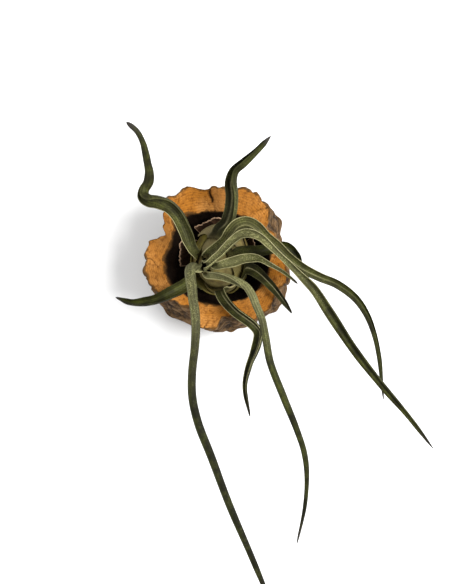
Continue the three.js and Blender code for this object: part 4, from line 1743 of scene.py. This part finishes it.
@dataclass
class Studio:
    """A plain pale floor, soft lights and the camera at the photograph's angle.

    The camera's place and target are in millimetres, all other lengths of things in metres.
    """

    camera_place: Point = (45.759, -34.167, 640.825)
    view_target: Point = (-25.14, 42.64, 50.0)
    lens: float = 68.5
    sensor: float = 36.0
    clip: Span = (0.01, 50.0)
    floor_size: float = 6.0
    floor_colour: Colour = (0.74, 0.74, 0.74)
    floor_roughness: float = 0.9
    floor_specular: float = 0.1
    lamps: tuple[Lamp, ...] = (
        Lamp("key", (0.9, -0.05, 1.25), 0.6, 44.0),
        Lamp("fill", (-1.2, -0.6, 1.3), 1.4, 6.0),
    )
    lamp_target: Point = (0.0, 0.0, 0.05)
    sky: float = 0.92

    def floor(self) -> None:
        """Lays a wide flat sheet just under the tube's foot."""
        half = self.floor_size / 2
        corners = [(-half, -half, 0.0), (half, -half, 0.0), (half, half, 0.0), (-half, half, 0.0)]
        mesh = bpy.data.meshes.new("floor")
        mesh.from_pydata(corners, [], [(0, 1, 2, 3)])
        material, shader = new_material("pale_floor")
        shader.inputs["Base Color"].default_value = (*self.floor_colour, 1.0)
        shader.inputs["Roughness"].default_value = self.floor_roughness
        shader.inputs["Specular IOR Level"].default_value = self.floor_specular
        mesh.materials.append(material)
        piece = bpy.data.objects.new("floor", mesh)
        bpy.context.scene.collection.objects.link(piece)

    def light(self, lamp: Lamp) -> None:
        """Hangs a lamp that faces the plant.

        Args:
            lamp: its name, place, size and power.
        """
        data = bpy.data.lights.new(lamp.name, "AREA")
        data.size = lamp.size
        data.energy = lamp.watts
        aim = Vector(self.lamp_target) - Vector(lamp.place)
        turn = aim.to_track_quat("-Z", "Y").to_matrix().to_4x4()
        light = bpy.data.objects.new(lamp.name, data)
        light.matrix_world = Matrix.Translation(lamp.place) @ turn
        bpy.context.scene.collection.objects.link(light)

    def world(self) -> None:
        """Even white light from all round."""
        world = bpy.data.worlds.new("soft_sky")
        world.use_nodes = True
        back = world.node_tree.nodes["Background"]
        back.inputs["Color"].default_value = (1.0, 1.0, 1.0, 1.0)
        back.inputs["Strength"].default_value = self.sky
        bpy.context.scene.world = world

    def camera(self) -> None:
        """Sets the camera up, with +Y upwards in the picture, and makes it the scene's own."""
        data = bpy.data.cameras.new("camera")
        data.lens = self.lens
        data.sensor_width = self.sensor
        data.clip_start, data.clip_end = self.clip
        place = Vector(self.camera_place) * MM
        back = (place - Vector(self.view_target) * MM).normalized()
        right = Vector((0.0, 1.0, 0.0)).cross(back).normalized()
        up = back.cross(right)
        turn = Matrix((right, up, back)).transposed().to_4x4()
        camera = bpy.data.objects.new("camera", data)
        camera.matrix_world = Matrix.Translation(place) @ turn
        bpy.context.scene.collection.objects.link(camera)
        bpy.context.scene.camera = camera

    def build(self) -> None:
        """Sets up the floor, the lights, the camera and the plain colour view."""
        self.floor()
        self.world()
        for lamp in self.lamps:
            self.light(lamp)
        self.camera()
        settings = bpy.context.scene.view_settings
        settings.view_transform = "Standard"
        settings.look = "None"


def main() -> None:
    """Builds the plant piece by piece and sets up its studio."""
    logging.basicConfig(level=logging.INFO, format="%(name)s: %(message)s")
    Studio().build()
    effects = Effects()
    tube = BarkTube().build(CORK.build(effects))
    seat(tube, "cork_tube", Slot.CORK)
    Stem().build(WOODY.build(effects))
    papery = PAPERY.build(effects)
    for sheath in DRY_SHEATHS:
        sheath.build(papery)
    skins = {
        Slot.LEAF_GREEN: LEAF_GREEN.build(effects),
        Slot.LEAF_PALE: LEAF_PALE.build(effects),
    }
    for leaf in LEAVES:
        leaf.build(skins)


if __name__ == "__main__":
    main()
